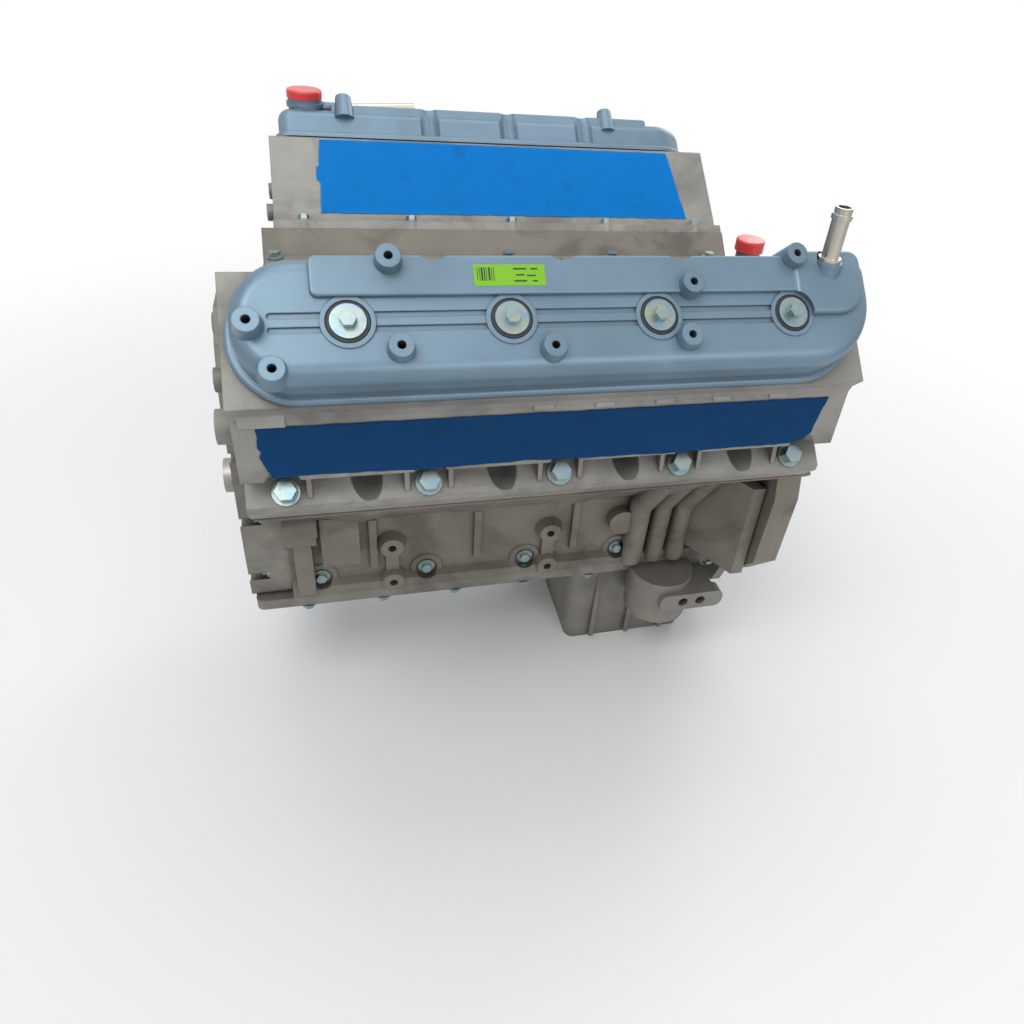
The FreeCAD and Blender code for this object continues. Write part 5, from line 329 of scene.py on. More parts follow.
def printed_paper(name, colour):
    """Glossy label paper with a faint fibre and a slightly faded field."""
    finish = Finish(name, Specular_IOR_Level=0.4)
    fade = finish.noise(60.0, 3.0, 0.5)
    base = finish.blend(fade * 0.5, colour, tint(colour, 1.25))
    finish.feed(Base_Color=base, Roughness=0.4 + fade * 0.12)
    finish.feed(Normal=finish.bump(finish.noise(900.0, 2.0, 0.5), 0.00004, 0.4))
    return finish.material


# --- Settings -------------------------------------------------------------------------------------
def colour_setting(name, text, default):
    """A colour in linear light."""
    return bpy.props.FloatVectorProperty(
        name=name, description=text, subtype="COLOR", size=3, min=0.0, max=1.0, default=default
    )


def length_setting(name, text, default):
    """A length in metres."""
    return bpy.props.FloatProperty(name=name, description=text, unit="LENGTH", default=default)


class StageSettings(bpy.types.PropertyGroup):
    floor_colour: colour_setting("Floor", "Colour of the studio floor", (0.86, 0.86, 0.86))
    floor_radius: length_setting("Floor radius", "How far the floor reaches", 24.0)
    clear_radius: length_setting("Shadow reach", "Where the floor turns plain white", 0.9)
    lamp_level: bpy.props.FloatProperty(
        name="Lamp level", description="Multiplies all studio lamps", default=1.0, min=0.0
    )
    lens: bpy.props.FloatProperty(
        name="Lens", description="Camera focal length in millimetres", default=27.91
    )


class CastingSettings(bpy.types.PropertyGroup):
    block: colour_setting("Block", "Sand-cast block", (0.215, 0.195, 0.16))
    head: colour_setting("Heads", "Cast cylinder heads", (0.29, 0.28, 0.255))
    cover: colour_setting("Rocker covers", "Satin rocker covers", (0.15, 0.228, 0.295))
    lower: colour_setting("Lower castings", "Pan and front, rear and valley covers",
                          (0.25, 0.235, 0.205))
    # Corner colour of the castings, laid in by an occlusion mask: oily soiling and painted shade
    # together.
    grime_and_shade: colour_setting("Grime", "Oily dust in corners", (0.07, 0.06, 0.05))


class MetalSettings(bpy.types.PropertyGroup):
    iron: colour_setting("Iron", "Liners and bearing caps", (0.23, 0.22, 0.21))
    forged: colour_setting("Forgings", "Crankshaft, rods and camshaft", (0.36, 0.35, 0.34))
    machined: colour_setting("Machined steel", "Gears, valves and levers", (0.5, 0.5, 0.5))
    zinc: colour_setting("Zinc", "Plated bolts", (0.24, 0.34, 0.41))
    straw: colour_setting("Straw bloom", "Tint on the plated bolts", (0.33, 0.38, 0.32))
    # Painted shade laid into the bolts' corners by an occlusion mask.
    zinc_corner_shade: colour_setting("Zinc dust", "Dust in the bolts' corners", (0.1, 0.1, 0.1))
    # Corner colour of the iron, laid in by an occlusion mask: oily soiling and painted shade
    # together.
    iron_dust_and_shade: colour_setting("Iron dust", "Dust in the iron's corners", (0.05, 0.04, 0.03))
    piston: colour_setting("Pistons", "Machined piston alloy", (0.62, 0.62, 0.63))
    bearing: colour_setting("Bearings", "Plain bearing lining", (0.55, 0.51, 0.45))
    nickel: colour_setting("Nickel", "Plated brass fittings", (0.55, 0.52, 0.44))


class TrimSettings(bpy.types.PropertyGroup):
    rubber: colour_setting("Rubber", "Seals and grommets", (0.025, 0.026, 0.028))
    black: colour_setting("Black plastic", "Guides and dampers", (0.04, 0.04, 0.042))
    red: colour_setting("Red plastic", "Filler and port caps", (0.66, 0.04, 0.036))
    label: colour_setting("Label", "Shipping label", (0.17, 0.42, 0.012))
    ink: colour_setting("Label ink", "Bars and lines of the label", (0.012, 0.02, 0.012))


class FilmSettings(bpy.types.PropertyGroup):
    # The intake and exhaust colours are one blue film painted lit and shaded: the intake colour is
    # the lit copy, the exhaust colour its painted shade on the downward faces.
    intake: colour_setting("Intake film", "Film over the intake faces", (0.0, 0.34, 0.92))
    exhaust: colour_setting("Exhaust film", "Film over the exhaust faces", (0.007, 0.085, 0.26))
    thickness: length_setting("Thickness", "Film thickness", 0.0002)
    lift: length_setting("Lift", "How far the film stands off its face", 0.0005)
    ragged: length_setting("Ragged edge", "How far the torn edges wander", 0.0009)


class DetailSettings(bpy.types.PropertyGroup):
    lug_length: length_setting("Lug length", "Cast lugs along the exhaust face", 0.0165)
    lug_height: length_setting("Lug height", "Cast lugs along the exhaust face", 0.0052)
    # The pad and lugs are painted lighter than the heads as a highlight.
    pad_length: length_setting("Pad length", "Bare cast pad at the head's corner", 0.033)
    pad_height: length_setting("Pad height", "Bare cast pad at the head's corner", 0.0141)


class LabelSettings(bpy.types.PropertyGroup):
    length: length_setting("Length", "Label size along the engine", 0.0515)
    width: length_setting("Width", "Label size across the cover", 0.0158)
    thickness: length_setting("Thickness", "Label paper", 0.0002)


# --- Shapes ---------------------------------------------------------------------------------------
def show(name, mesh_maker, material, body):
    """Turns a finished bmesh into a piece that rides on a body and may have a material slot."""
    mesh = bpy.data.meshes.new(name)
    mesh_maker.to_mesh(mesh)
    mesh_maker.free()
    mesh.materials.append(material)
    piece = bpy.data.objects.new(name, mesh)
    bpy.context.scene.collection.objects.link(piece)
    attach(piece, body)
    return piece


def thin_bar(shape, size, place):
    """Adds one thin raised bar, drawn flat and then stood in its place."""
    made = bmesh.ops.create_cube(shape, size=1.0)["verts"]
    bmesh.ops.scale(shape, vec=size, verts=made)
    bmesh.ops.transform(shape, matrix=place, verts=made)


# --- Operators ------------------------------------------------------------------------------------
class ENGINE_OT_stage(bpy.types.Operator):
    """Lays the pale floor, hangs the soft lamps and sets the camera"""

    bl_idname = "engine.stage"
    bl_label = "Studio stage"

    MIDDLE_X = -0.29
    FLOOR_SIDES = 96
    LAMP_AIM = (MIDDLE_X, 0.0, 0.1)
    # Each lamp as its name, place, size and watts
    LAMPS = (
        ("key_box", (-1.3, -1.2, 2.3), (1.5, 1.2), 31.0),
        ("top_box", (-0.2, 0.5, 2.6), (2.2, 1.6), 20.0),
        ("front_fill", (0.4, -2.6, 0.9), (2.0, 1.2), 17.0),
        ("rear_rim", (1.6, 1.8, 1.5), (1.2, 1.2), 15.0),
    )
    AMBIENT = (0.93, 0.96, 1.0, 1.0)
    AMBIENT_STRENGTH = 0.45
    WHITE = (1.0, 1.0, 1.0, 1.0)
    # The camera's place, its own axes as (right, up, back), and the shift of its frame
    CAMERA_PLACE = (-0.4634, -0.7729, 0.5348)
    CAMERA_AXES = ((0.9601, -0.2614, 0.0994), (0.0776, 0.5904, 0.8034), (-0.2687, -0.7636, 0.5871))
    CAMERA_SHIFT = (-0.0579, -0.0210)
    SENSOR_WIDTH = 36.0
    NEAR_CLIP = 0.01

    def execute(self, context):
        settings = context.scene.engine_stage
        self.floor(settings)
        self.lamps(settings)
        self.world(context.scene)
        self.camera(context.scene, settings)
        context.scene.view_settings.view_transform = "Standard"
        return {"FINISHED"}

    def floor(self, settings):
        """A disc under the pan that turns plain white away from the engine's shadow."""
        centre = (self.MIDDLE_X, 0.0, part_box("oil_pan")[0].z)
        disc = bmesh.new()
        bmesh.ops.create_circle(disc, cap_ends=True, segments=self.FLOOR_SIDES,
                                radius=settings.floor_radius)
        bmesh.ops.translate(disc, vec=centre, verts=disc.verts)
        mesh = bpy.data.meshes.new("studio_floor")
        disc.to_mesh(mesh)
        disc.free()
        floor = bpy.data.objects.new("studio_floor", mesh)
        bpy.context.scene.collection.objects.link(floor)
        finish = Finish("studio_floor", Base_Color=settings.floor_colour, Roughness=0.9)
        distance = finish.node("ShaderNodeVectorMath", {"operation": "DISTANCE"},
                               {0: finish.coords, 1: centre}, "Value")
        reach = settings.clear_radius
        far = finish.node("ShaderNodeMapRange", {"interpolation_type": "SMOOTHSTEP"},
                          {"Value": distance, "From Min": reach * 0.5, "From Max": reach * 1.7})
        path = finish.node("ShaderNodeLightPath", out="Is Camera Ray")
        glow = finish.node("ShaderNodeEmission", {}, {"Color": self.WHITE})
        surface = Signal(finish, finish.shader.outputs[0])
        mixed = finish.node("ShaderNodeMixShader", {}, {0: far * path, 1: surface, 2: glow})
        output = finish.tree.nodes["Material Output"]
        finish.tree.links.new(mixed.socket, output.inputs["Surface"])
        mesh.materials.append(finish.material)

    def lamps(self, settings):
        """Rectangular lamps, all turned to one point in the engine."""
        aim = Vector(self.LAMP_AIM)
        for name, place, size, watts in self.LAMPS:
            data = bpy.data.lights.new(name, "AREA")
            data.shape = "RECTANGLE"
            data.size, data.size_y = size
            data.energy = watts * settings.lamp_level
            lamp = bpy.data.objects.new(name, data)
            lamp.location = place
            lamp.rotation_euler = (aim - Vector(place)).to_track_quat("-Z", "Y").to_euler()
            bpy.context.scene.collection.objects.link(lamp)

    def world(self, scene):
        """Plain white behind the engine and in its shine, a cool dim light all around."""
        world = bpy.data.worlds.new("studio_sky")
        world.use_nodes = True
        scene.world = world
        nodes, links = world.node_tree.nodes, world.node_tree.links
        nodes.clear()
        path = nodes.new("ShaderNodeLightPath")
        seen = nodes.new("ShaderNodeMath")
        seen.operation = "MAXIMUM"
        links.new(path.outputs["Is Camera Ray"], seen.inputs[0])
        through = nodes.new("ShaderNodeMath")
        through.operation = "MAXIMUM"
        links.new(path.outputs["Is Glossy Ray"], through.inputs[0])
        links.new(path.outputs["Is Transmission Ray"], through.inputs[1])
        links.new(through.outputs[0], seen.inputs[1])
        ambient = nodes.new("ShaderNodeBackground")
        ambient.inputs["Color"].default_value = self.AMBIENT
        ambient.inputs["Strength"].default_value = self.AMBIENT_STRENGTH
        plain = nodes.new("ShaderNodeBackground")
        plain.inputs["Strength"].default_value = 1.0
        plain.inputs["Color"].default_value = self.WHITE
        mixed = nodes.new("ShaderNodeMixShader")
        links.new(seen.outputs[0], mixed.inputs[0])
        links.new(ambient.outputs[0], mixed.inputs[1])
        links.new(plain.outputs[0], mixed.inputs[2])
        output = nodes.new("ShaderNodeOutputWorld")
        links.new(mixed.outputs[0], output.inputs[0])

    def camera(self, scene, settings):
        data = bpy.data.cameras.new("studio_camera")
        data.sensor_width = self.SENSOR_WIDTH
        data.lens = settings.lens
        data.shift_x, data.shift_y = self.CAMERA_SHIFT
        data.clip_start = self.NEAR_CLIP
        camera = bpy.data.objects.new("studio_camera", data)
        camera.rotation_euler = Matrix(self.CAMERA_AXES).transposed().to_euler()
        camera.location = self.CAMERA_PLACE
        scene.collection.objects.link(camera)
        scene.camera = camera


def dress(finishes):
    """Gives every CAD node the finish of its material slot."""
    for row in frame["record"]["subparts"]:
        if row["material_slot"] in finishes:
            materials = frame["nodes"][row["node"]].data.materials
            materials.clear()
            materials.append(finishes[row["material_slot"]])


class ENGINE_OT_castings(bpy.types.Operator):
    """Gives the block, heads, rocker covers and lower castings their cast skins"""

    bl_idname = "engine.castings"
    bl_label = "Casting finishes"

    def execute(self, context):
        colours = context.scene.engine_castings
        grime_and_shade = tuple(colours.grime_and_shade)
        finishes = {
            "block_casting": sand_casting("block_skin", tuple(colours.block), grime_and_shade),
            "head_casting": sand_casting("head_skin", tuple(colours.head), grime_and_shade,
                                         grain=0.00014, roughness=0.44, dirt_and_shade=0.7, metal=0.35),
            "lower_casting": sand_casting("lower_skin", tuple(colours.lower), grime_and_shade,
                                          grain=0.00018, roughness=0.46, dirt_and_shade=0.7, metal=0.35),
            "cover_casting": smooth_casting("cover_skin", tuple(colours.cover), grime_and_shade),
        }
        dress(finishes)
        return {"FINISHED"}


class ENGINE_OT_metals(bpy.types.Operator):
    """Gives the moving parts, liners, bearings, bolts and fittings their metals"""

    bl_idname = "engine.metals"
    bl_label = "Metal finishes"

    def execute(self, context):
        colours = context.scene.engine_metals
        finishes = {
            "grey_iron": sand_casting("iron_skin", tuple(colours.iron), tuple(colours.iron_dust_and_shade),
                                      grain=0.00012, roughness=0.45, dirt_and_shade=0.4, metal=0.9),
            "forged_steel": turned_metal("forged_skin", tuple(colours.forged), 0.32),
            "machined_steel": turned_metal("machined_skin", tuple(colours.machined), 0.24),
            "zinc_steel": zinc_plating("zinc_skin", tuple(colours.zinc), tuple(colours.straw),
                                       tuple(colours.zinc_corner_shade)),
            "piston_alloy": turned_metal("piston_skin", tuple(colours.piston), 0.3, 900.0),
            "bearing_metal": turned_metal("bearing_skin", tuple(colours.bearing), 0.35),
            "plated_brass": turned_metal("nickel_skin", tuple(colours.nickel), 0.2, 600.0),
        }
        dress(finishes)
        return {"FINISHED"}


class ENGINE_OT_trim(bpy.types.Operator):
    """Gives the rubber and plastic parts their finishes"""

    bl_idname = "engine.trim"
    bl_label = "Trim finishes"

    def execute(self, context):
        colours = context.scene.engine_trim
        finishes = {
            "black_rubber": moulded("rubber_skin", tuple(colours.rubber), 0.5),
            "black_plastic": moulded("plastic_skin", tuple(colours.black), 0.4),
            "red_plastic": moulded("red_skin", tuple(colours.red), 0.28, grain=400.0,
                                   depth=0.00004, coat=0.3),
        }
        dress(finishes)
        return {"FINISHED"}


class ENGINE_OT_rods(bpy.types.Operator):
    """Splits the connecting rods so that each one stays with its own piston"""

    bl_idname = "engine.rods"
    bl_label = "Connecting rods"

    NUMBERS = range(1, 9)

    def execute(self, context):
        source = frame["nodes"]["connecting_rods"].data
        pistons = {n: self.middle(f"piston_{n}") for n in self.NUMBERS}
        for n in self.NUMBERS:
            rod = bmesh.new()
            rod.from_mesh(source)
            others = [vert for vert in rod.verts
                      if min(pistons, key=lambda k: abs(pistons[k] - vert.co.x)) != n]
            bmesh.ops.delete(rod, geom=others, context="VERTS")
            piece = show(f"connecting_rod_{n}", rod, bpy.data.materials["forged_skin"],
                         f"piston_{n}")
            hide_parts("connecting_rods")
        return {"FINISHED"}

    def middle(self, node):
        """Where the middle of a node lies along the engine."""
        low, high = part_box(node)
        return (low.x + high.x) / 2


class ENGINE_OT_films(bpy.types.Operator):
    """Sticks torn-edged blue film over the intake and exhaust faces of both heads"""

    bl_idname = "engine.films"
    bl_label = "Port films"

    COLUMNS = 150
    # Outline of each film: its front and rear ends as (share up the face, millimetres from the
    # bank's middle), then its low and high edges as (share along, millimetres up the face).
    # A port is (shift from its cylinder, half length, middle up the face, half height).
    EXHAUST = {
        "face": EXHAUST_FACE, "outward": 1, "rows": 22, "port": (18.0, 16.0, 24.0, 16.0),
        "front": ((0.0, 229.0), (0.18, 233.5), (0.45, 237.6), (0.55, 235.8), (0.62, 237.8),
                  (1.0, 237.0)),
        "rear": ((0.0, -210.0), (0.08, -222.0), (0.2, -228.5), (0.5, -230.5), (1.0, -235.5)),
        "low": ((0.0, 3.0), (0.06, 4.6), (0.3, 2.4), (0.44, 4.4), (0.5, 3.2), (0.7, 1.8),
                (1.0, 3.2)),
        "high": ((0.0, 48.6), (1.0, 49.8)),
    }
    INTAKE = {
        "face": INTAKE_FACE, "outward": -1, "rows": 34, "port": (0.0, 13.0, 28.0, 27.0),
        "front": ((0.0, -205.6), (0.42, -204.2), (0.44, -207.4), (0.62, -207.8), (0.64, -204.6),
                  (1.0, -202.0)),
        "rear": ((0.0, 218.0), (0.5, 212.5), (0.9, 208.6), (1.0, 206.0)),
        "low": ((0.0, 0.6), (0.5, 1.2), (1.0, 0.4)),
        "high": ((0.0, 91.4), (0.3, 91.9), (1.0, 90.6)),
    }
    # How each torn edge wanders: waves along it, a seed and a share of the ragged setting
    TEARS = {
        "front": (9.0, 3.1, 1.0),
        "rear": (9.0, 8.7, 1.0),
        "low": (40.0, 1.3, 1.0),
        "high": (30.0, 5.9, 0.6),
    }
    # Shares of the film's lift: where it stands, its wave and its sag into a port, which it
    # reaches within this many millimetres of the port's edge
    STAND = 1.3
    WAVE = 0.5
    SAG = 0.9
    SAG_EDGE = 5.0

    def execute(self, context):
        settings = context.scene.engine_films
        # Lit and shaded copies of one film finish; the difference between them is painted light and
        # shade.
        finishes = {"intake": shipping_film("lit_intake_film_skin", tuple(settings.intake)),
                    "exhaust": shipping_film("shaded_exhaust_film_skin", tuple(settings.exhaust))}
        for bank, side in (("left", LEFT), ("right", RIGHT)):
            for kind, outline in (("intake", self.INTAKE), ("exhaust", self.EXHAUST)):
                film = self.sheet(side, outline, settings)
                piece = show(f"{bank}_{kind}_film", film, finishes[kind], "engine")
                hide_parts("port_films")
        return {"FINISHED"}

    def sheet(self, side, outline, settings):
        """One film as a grid over its face, given its thickness."""
        (v0, u0), (v1, u1) = outline["face"]
        length = math.hypot(v1 - v0, u1 - u0)
        up_face = ((v1 - v0) / length, (u1 - u0) / length)
        outward = (up_face[1] * outline["outward"], -up_face[0] * outline["outward"])
        film = bmesh.new()
        rows = outline["rows"]
        grid = []
        for j in range(rows + 1):
            line = []
            for i in range(self.COLUMNS + 1):
                local, climb = self.spread(outline, i / self.COLUMNS, j / rows,
                                           settings.ragged / MM, side)
                lift = self.lift(outline, local, climb, side) * settings.lift / MM
                v = v0 + up_face[0] * climb + outward[0] * lift
                u = u0 + up_face[1] * climb + outward[1] * lift
                line.append(film.verts.new(bank_point(side, along_engine(side, local), v, u)))
            grid.append(line)
        for low, high in zip(grid, grid[1:]):
            for i in range(self.COLUMNS):
                film.faces.new((low[i], low[i + 1], high[i + 1], high[i]))
        bmesh.ops.solidify(film, geom=film.faces[:], thickness=settings.thickness)
        bmesh.ops.recalc_face_normals(film, faces=film.faces)
        for face in film.faces:
            face.smooth = True
        return film

    def spread(self, outline, along, across, ragged, side):
        """Where one point of the film lies: millimetres from the bank's middle and up the face."""
        front = self.torn(outline, "front", across, ragged, side)
        rear = self.torn(outline, "rear", across, ragged, side)
        low = self.torn(outline, "low", along, ragged, side)
        high = self.torn(outline, "high", along, ragged, side)
        return front + (rear - front) * along, low + (high - low) * across

    def torn(self, outline, edge, where, ragged, side):
        """A place on one edge of the film, with the wander of its tear."""
        waves, seed, share = self.TEARS[edge]
        wander = noise.noise((where * waves, seed, side))
        return between(outline[edge], where) + ragged * share * wander

    def lift(self, outline, local, climb, side):
        """How far the film stands off, in shares of its lift."""
        wave = noise.noise((local * 0.016, climb * 0.05, side + 4.0))
        wave += 0.4 * noise.noise((local * 0.05, climb * 0.09, side + 9.0))
        shift, half_length, centre, half_height = outline["port"]
        sag = 0.0
        for cylinder in CYLINDERS:
            inside = min(half_length - abs(local - cylinder - shift),
                         half_height - abs(climb - centre))
            sag = max(sag, min(1.0, inside / self.SAG_EDGE))
        return self.STAND + self.WAVE * wave - self.SAG * sag


class ENGINE_OT_details(bpy.types.Operator):
    """Adds the cast lugs and the bare pad on the heads' exhaust sides, both painted lighter than
    the heads as a highlight
    """

    bl_idname = "engine.details"
    bl_label = "Cast details"

    # Places from the bank's middle, and steps down the face from its upper edge, in millimetres
    LUGS = (23.3, -27.7, -79.7, -130.7, -183.7)
    LUG_DROP = 2.1
    PAD = 232.8
    PAD_DROP = 6.3
    # How far the blocks stand out, how deep they are in all and their bevel, in metres
    LUG_PROUD = 0.0014
    PAD_PROUD = 0.002
    DEPTH = 0.012
    EDGE = 0.0008

    def execute(self, context):
        settings = context.scene.engine_details
        colours = context.scene.engine_castings
        # Painted highlight: the lugs and pad take the heads' colour lightened by 1.15, as where
        # these steps catch the light.
        skin = sand_casting("lit_detail_skin", tint(tuple(colours.head), 1.15), tuple(colours.grime_and_shade),
                            grain=0.00014, roughness=0.44, dirt_and_shade=0.4, metal=0.35)
        lug_size = (settings.lug_length, settings.lug_height, self.LUG_PROUD)
        pad_size = (settings.pad_length, settings.pad_height, self.PAD_PROUD)
        for bank, side in (("left", LEFT), ("right", RIGHT)):
            cast = bmesh.new()
            for lug in self.LUGS:
                self.block(cast, self.place(side, lug, self.LUG_DROP), side, *lug_size)
            self.block(cast, self.place(side, self.PAD, self.PAD_DROP), side, *pad_size)
            show(f"{bank}_head_lugs", cast, skin, "engine")
        return {"FINISHED"}

    def place(self, side, local, drop):
        """A place near the upper edge of the exhaust face."""
        v_high, u_high = EXHAUST_FACE[1]
        return bank_point(side, along_engine(side, local), v_high - drop, u_high + drop)

    def block(self, cast, top, side, length, height, proud):
        """A softly bevelled block let into the face, its upper front edge at the given place."""
        made = bmesh.ops.create_cube(cast, size=1.0)["verts"]
        bmesh.ops.scale(cast, vec=(length, self.DEPTH, height), verts=made)
        centre = top + Vector((0.0, side * (proud - self.DEPTH / 2), -height / 2))
        bmesh.ops.translate(cast, vec=centre, verts=made)
        edges = list({edge for vert in made for edge in vert.link_edges})
        bmesh.ops.bevel(cast, geom=edges, offset=self.EDGE, affect="EDGES", segments=2,
                        profile=0.5, material=-1)


class ENGINE_OT_walls(bpy.types.Operator):
    """Adds the thin walls behind the rocker covers' flutes and the front cover's bolt pockets"""

    bl_idname = "engine.walls"
    bl_label = "Cast walls"

    # Millimetres from the bank's middle of each flute; the radii of its wall and how far out its
    # middle lies; the heights of its foot, floor and top; the turns in degrees that it spans
    FLUTES = (107.0, 14.0, -78.0)
    FLUTE_INNER = 13.0
    FLUTE_OUTER = 14.8
    FLUTE_MIDDLE = -81.0
    FLUTE_FOOT = 363.6
    FLUTE_FLOOR = 365.5
    FLUTE_TOP = 394.6
    FLUTE_START = -48
    FLUTE_TURN = 8
    FLUTE_STEPS = 12
    # Half width of a flute's floor plate at its outer and inner edge, and where the outer one lies
    PLATE_OUTER = 10.0
    PLATE_INNER = 9.0
    PLATE_EDGE = 7.5
    # One half of the front cover's hollow and of its bolt pockets, as (y, z) in millimetres
    HOLLOW = ((92, -70), (92, -20), (86, 40), (80, 120), (72, 152), (48, 188), (24, 196))
    POCKETS = ((95, -60), (92, 10), (86, 84), (75, 158), (24, 198))
    # The radii of a pocket's wall and of the hole in its floor, the floor's thickness, and how far
    # its front and its floor lie from the cover's rear face
    POCKET_INNER = 9.95
    POCKET_OUTER = 11.9
    POCKET_HOLE = 8.6
    POCKET_FLOOR = 1.2
    POCKET_FRONT_DEPTH = 40.0
    POCKET_FLOOR_DEPTH = 22.0
    POCKET_STEPS = 48

    def execute(self, context):
        materials = bpy.data.materials
        for bank, side in (("left", LEFT), ("right", RIGHT)):
            walls = bmesh.new()
            for local in self.FLUTES:
                self.flute(walls, side, local)
            self.close(walls)
            show(f"{bank}_cover_flutes", walls, materials["cover_skin"], "engine")
        pockets = bmesh.new()
        half = list(self.HOLLOW)
        hollow = half + [(-y, z) for y, z in reversed(half)]
        for side in (LEFT, RIGHT):
            for y, z in self.POCKETS:
                self.pocket(pockets, hollow, side * y, z)
        self.close(pockets)
        show("front_cover_pockets", pockets, materials["lower_skin"], "engine")
        return {"FINISHED"}

    def close(self, walls):
        """Joins the prisms' shared corners and turns all faces outward."""
        bmesh.ops.remove_doubles(walls, verts=walls.verts, dist=0.00001)
        bmesh.ops.recalc_face_normals(walls, faces=walls.faces)

    def prism(self, walls, corners, low, high):
        """A four-cornered prism between two levels; low and high turn a corner into a place."""
        rings = [[walls.verts.new(level(*corner)) for corner in corners] for level in (low, high)]
        walls.faces.new(rings[0])
        walls.faces.new(reversed(rings[1]))
        for i in range(4):
            j = (i + 1) % 4
            walls.faces.new((rings[0][j], rings[0][i], rings[1][i], rings[1][j]))

    def flute(self, walls, side, local):
        """A curved wall behind one flute of a rocker cover, with the plate that closes its foot."""

        def level(height):
            return lambda x, v: bank_point(side, along_engine(side, local) + x, v, height)

        middle = self.FLUTE_MIDDLE
        for i in range(self.FLUTE_STEPS):
            turns = [math.radians(self.FLUTE_START + self.FLUTE_TURN * k) for k in (i, i + 1)]
            rays = [(math.sin(turn), math.cos(turn)) for turn in turns]
            ring = self.ring(0.0, middle, rays, self.FLUTE_INNER, self.FLUTE_OUTER)
            self.prism(walls, ring, level(self.FLUTE_FOOT), level(self.FLUTE_TOP))
        outer_edge = middle + self.PLATE_EDGE
        inner_edge = middle + self.FLUTE_INNER
        plate = [(-self.PLATE_OUTER, outer_edge), (self.PLATE_OUTER, outer_edge),
                 (self.PLATE_INNER, inner_edge), (-self.PLATE_INNER, inner_edge)]
        self.prism(walls, plate, level(self.FLUTE_FOOT), level(self.FLUTE_FLOOR))

    def ring(self, across, up, rays, inner, outer):
        """The four corners of one step of a ring, between two radii and two rays."""
        return [(across + radius * ray[0], up + radius * ray[1]) for radius, ray in
                ((inner, rays[0]), (outer, rays[0]), (outer, rays[1]), (inner, rays[1]))]

    def pocket(self, walls, hollow, y, z):
        """The wall and floor of one bolt pocket, where they stand in the cover's hollow."""

        def level(x):
            return lambda across, height: Vector((x, across, height)) * MM

        cover_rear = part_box("front_cover")[1].x / MM
        front = cover_rear - self.POCKET_FRONT_DEPTH
        floor = cover_rear - self.POCKET_FLOOR_DEPTH
        back = floor + self.POCKET_FLOOR
        inner = self.POCKET_INNER
        step = 2 * math.pi / self.POCKET_STEPS
        for i in range(self.POCKET_STEPS):
            rays = [(math.cos(step * k), math.sin(step * k)) for k in (i, i + 1)]
            if all(self.inside(hollow, y + inner * c, z + inner * d) for c, d in rays):
                wall = self.ring(y, z, rays, inner, self.POCKET_OUTER)
                self.prism(walls, wall, level(front), level(back))
                plate = self.ring(y, z, rays, self.POCKET_HOLE, inner)
                self.prism(walls, plate, level(floor), level(back))

    def inside(self, outline, y, z):
        """Tells whether a place lies within a closed outline."""
        within = False
        for (y0, z0), (y1, z1) in zip(outline, outline[1:] + outline[:1]):
            if (z0 > z) != (z1 > z) and y < y0 + (y1 - y0) * (z - z0) / (z1 - z0):
                within = not within
        return within


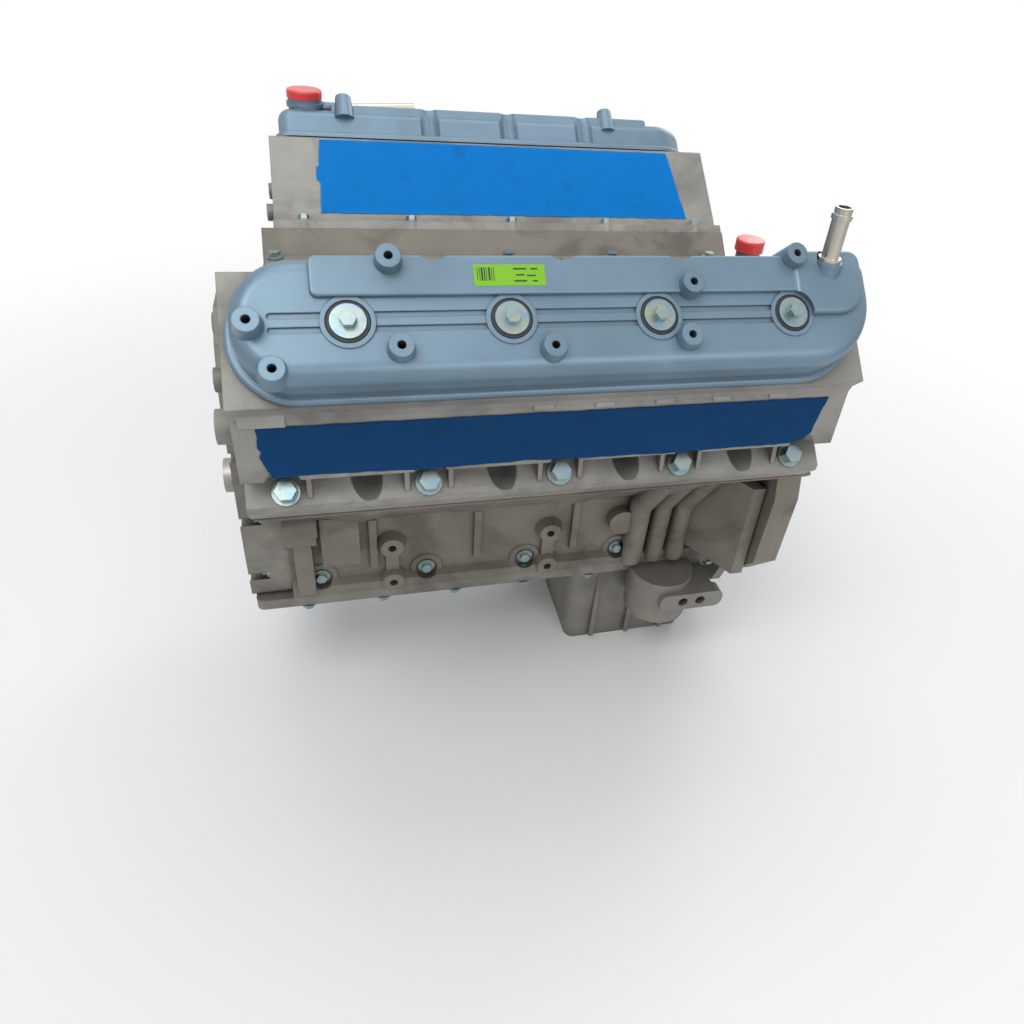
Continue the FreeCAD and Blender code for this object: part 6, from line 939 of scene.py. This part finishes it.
class ENGINE_OT_label(bpy.types.Operator):
    """Sticks the plain shipping label with its bars on the near rocker cover"""

    bl_idname = "engine.label"
    bl_label = "Shipping label"

    # Its middle as (x, v, u) in millimetres
    PLACE = (-342.5, -56.8, 400.62)
    # The bars and the spaces between them in turn, in units, then plain lines as (x, y, length)
    BARS = (1, 2, 1, 1, 3, 1, 2, 1, 1, 2, 3, 1, 1, 2, 1, 3)
    UNIT = 0.00042
    GAP = 0.4
    MARGIN = 0.0025
    BAR_RISE = 0.0008
    BAR_SHARE = 0.62
    LINES = ((0.0075, 0.0045, 0.0095), (0.0075, 0.0, 0.006), (0.0155, -0.0005, 0.0065),
             (0.0075, -0.0045, 0.009), (0.018, -0.0045, 0.0035), (0.018, 0.0045, 0.005))
    LINE_WIDTH = 0.0011
    # How far up the paper's thickness the middle of its print lies
    PRINT_LEVEL = 0.6

    def execute(self, context):
        size = context.scene.engine_label
        place = bank_turn(LEFT, *self.PLACE)
        paper = bmesh.new()
        thin_bar(paper, (size.length, size.width, size.thickness), place)
        colours = context.scene.engine_trim
        skin = printed_paper("label_paper", tuple(colours.label))
        show("shipping_label", paper, skin, "engine")
        marks = bmesh.new()
        level = size.thickness * self.PRINT_LEVEL
        reach = -size.length / 2 + self.MARGIN
        for i, bar in enumerate(self.BARS):
            width = bar * self.UNIT
            if i % 2 == 0:
                centre = Vector((reach + width / 2, self.BAR_RISE, level))
                thin_bar(marks, (width, size.width * self.BAR_SHARE, size.thickness),
                         place @ Matrix.Translation(centre))
            reach += width + self.UNIT * self.GAP
        for x, y, length in self.LINES:
            centre = Vector((x, y, level))
            thin_bar(marks, (length, self.LINE_WIDTH, size.thickness),
                     place @ Matrix.Translation(centre))
        show("label_bars", marks, moulded("label_ink", tuple(colours.ink), 0.5), "engine")
        return {"FINISHED"}


class ENGINE_PT_sidebar(bpy.types.Panel):
    """Lists the engine's pieces and their settings"""

    bl_idname = "ENGINE_PT_sidebar"
    bl_label = "V8 engine"
    bl_space_type = "VIEW_3D"
    bl_region_type = "UI"
    bl_category = "Engine"

    def draw(self, context):
        layout = self.layout
        for operator in OPERATORS:
            layout.operator(operator.bl_idname)
        for name in SETTINGS:
            column = layout.column()
            group = getattr(context.scene, name)
            for key in group.__annotations__:
                column.prop(group, key)


OPERATORS = (
    ENGINE_OT_stage,
    ENGINE_OT_castings,
    ENGINE_OT_metals,
    ENGINE_OT_trim,
    ENGINE_OT_rods,
    ENGINE_OT_films,
    ENGINE_OT_details,
    ENGINE_OT_walls,
    ENGINE_OT_label,
)
SETTINGS = {
    "engine_stage": StageSettings,
    "engine_castings": CastingSettings,
    "engine_metals": MetalSettings,
    "engine_trim": TrimSettings,
    "engine_films": FilmSettings,
    "engine_details": DetailSettings,
    "engine_label": LabelSettings,
}


def register():
    for group in SETTINGS.values():
        bpy.utils.register_class(group)
    for name, group in SETTINGS.items():
        setattr(bpy.types.Scene, name, bpy.props.PointerProperty(type=group))
    for operator in OPERATORS:
        bpy.utils.register_class(operator)
    bpy.utils.register_class(ENGINE_PT_sidebar)


def unregister():
    bpy.utils.unregister_class(ENGINE_PT_sidebar)
    for operator in reversed(OPERATORS):
        bpy.utils.unregister_class(operator)
    for name, group in SETTINGS.items():
        delattr(bpy.types.Scene, name)
        bpy.utils.unregister_class(group)


def main():
    register()
    bpy.ops.engine.stage()
    bpy.ops.engine.castings()
    bpy.ops.engine.metals()
    bpy.ops.engine.trim()
    bpy.ops.engine.rods()
    bpy.ops.engine.films()
    bpy.ops.engine.details()
    bpy.ops.engine.walls()
    bpy.ops.engine.label()


if __name__ == "__main__":
    main()
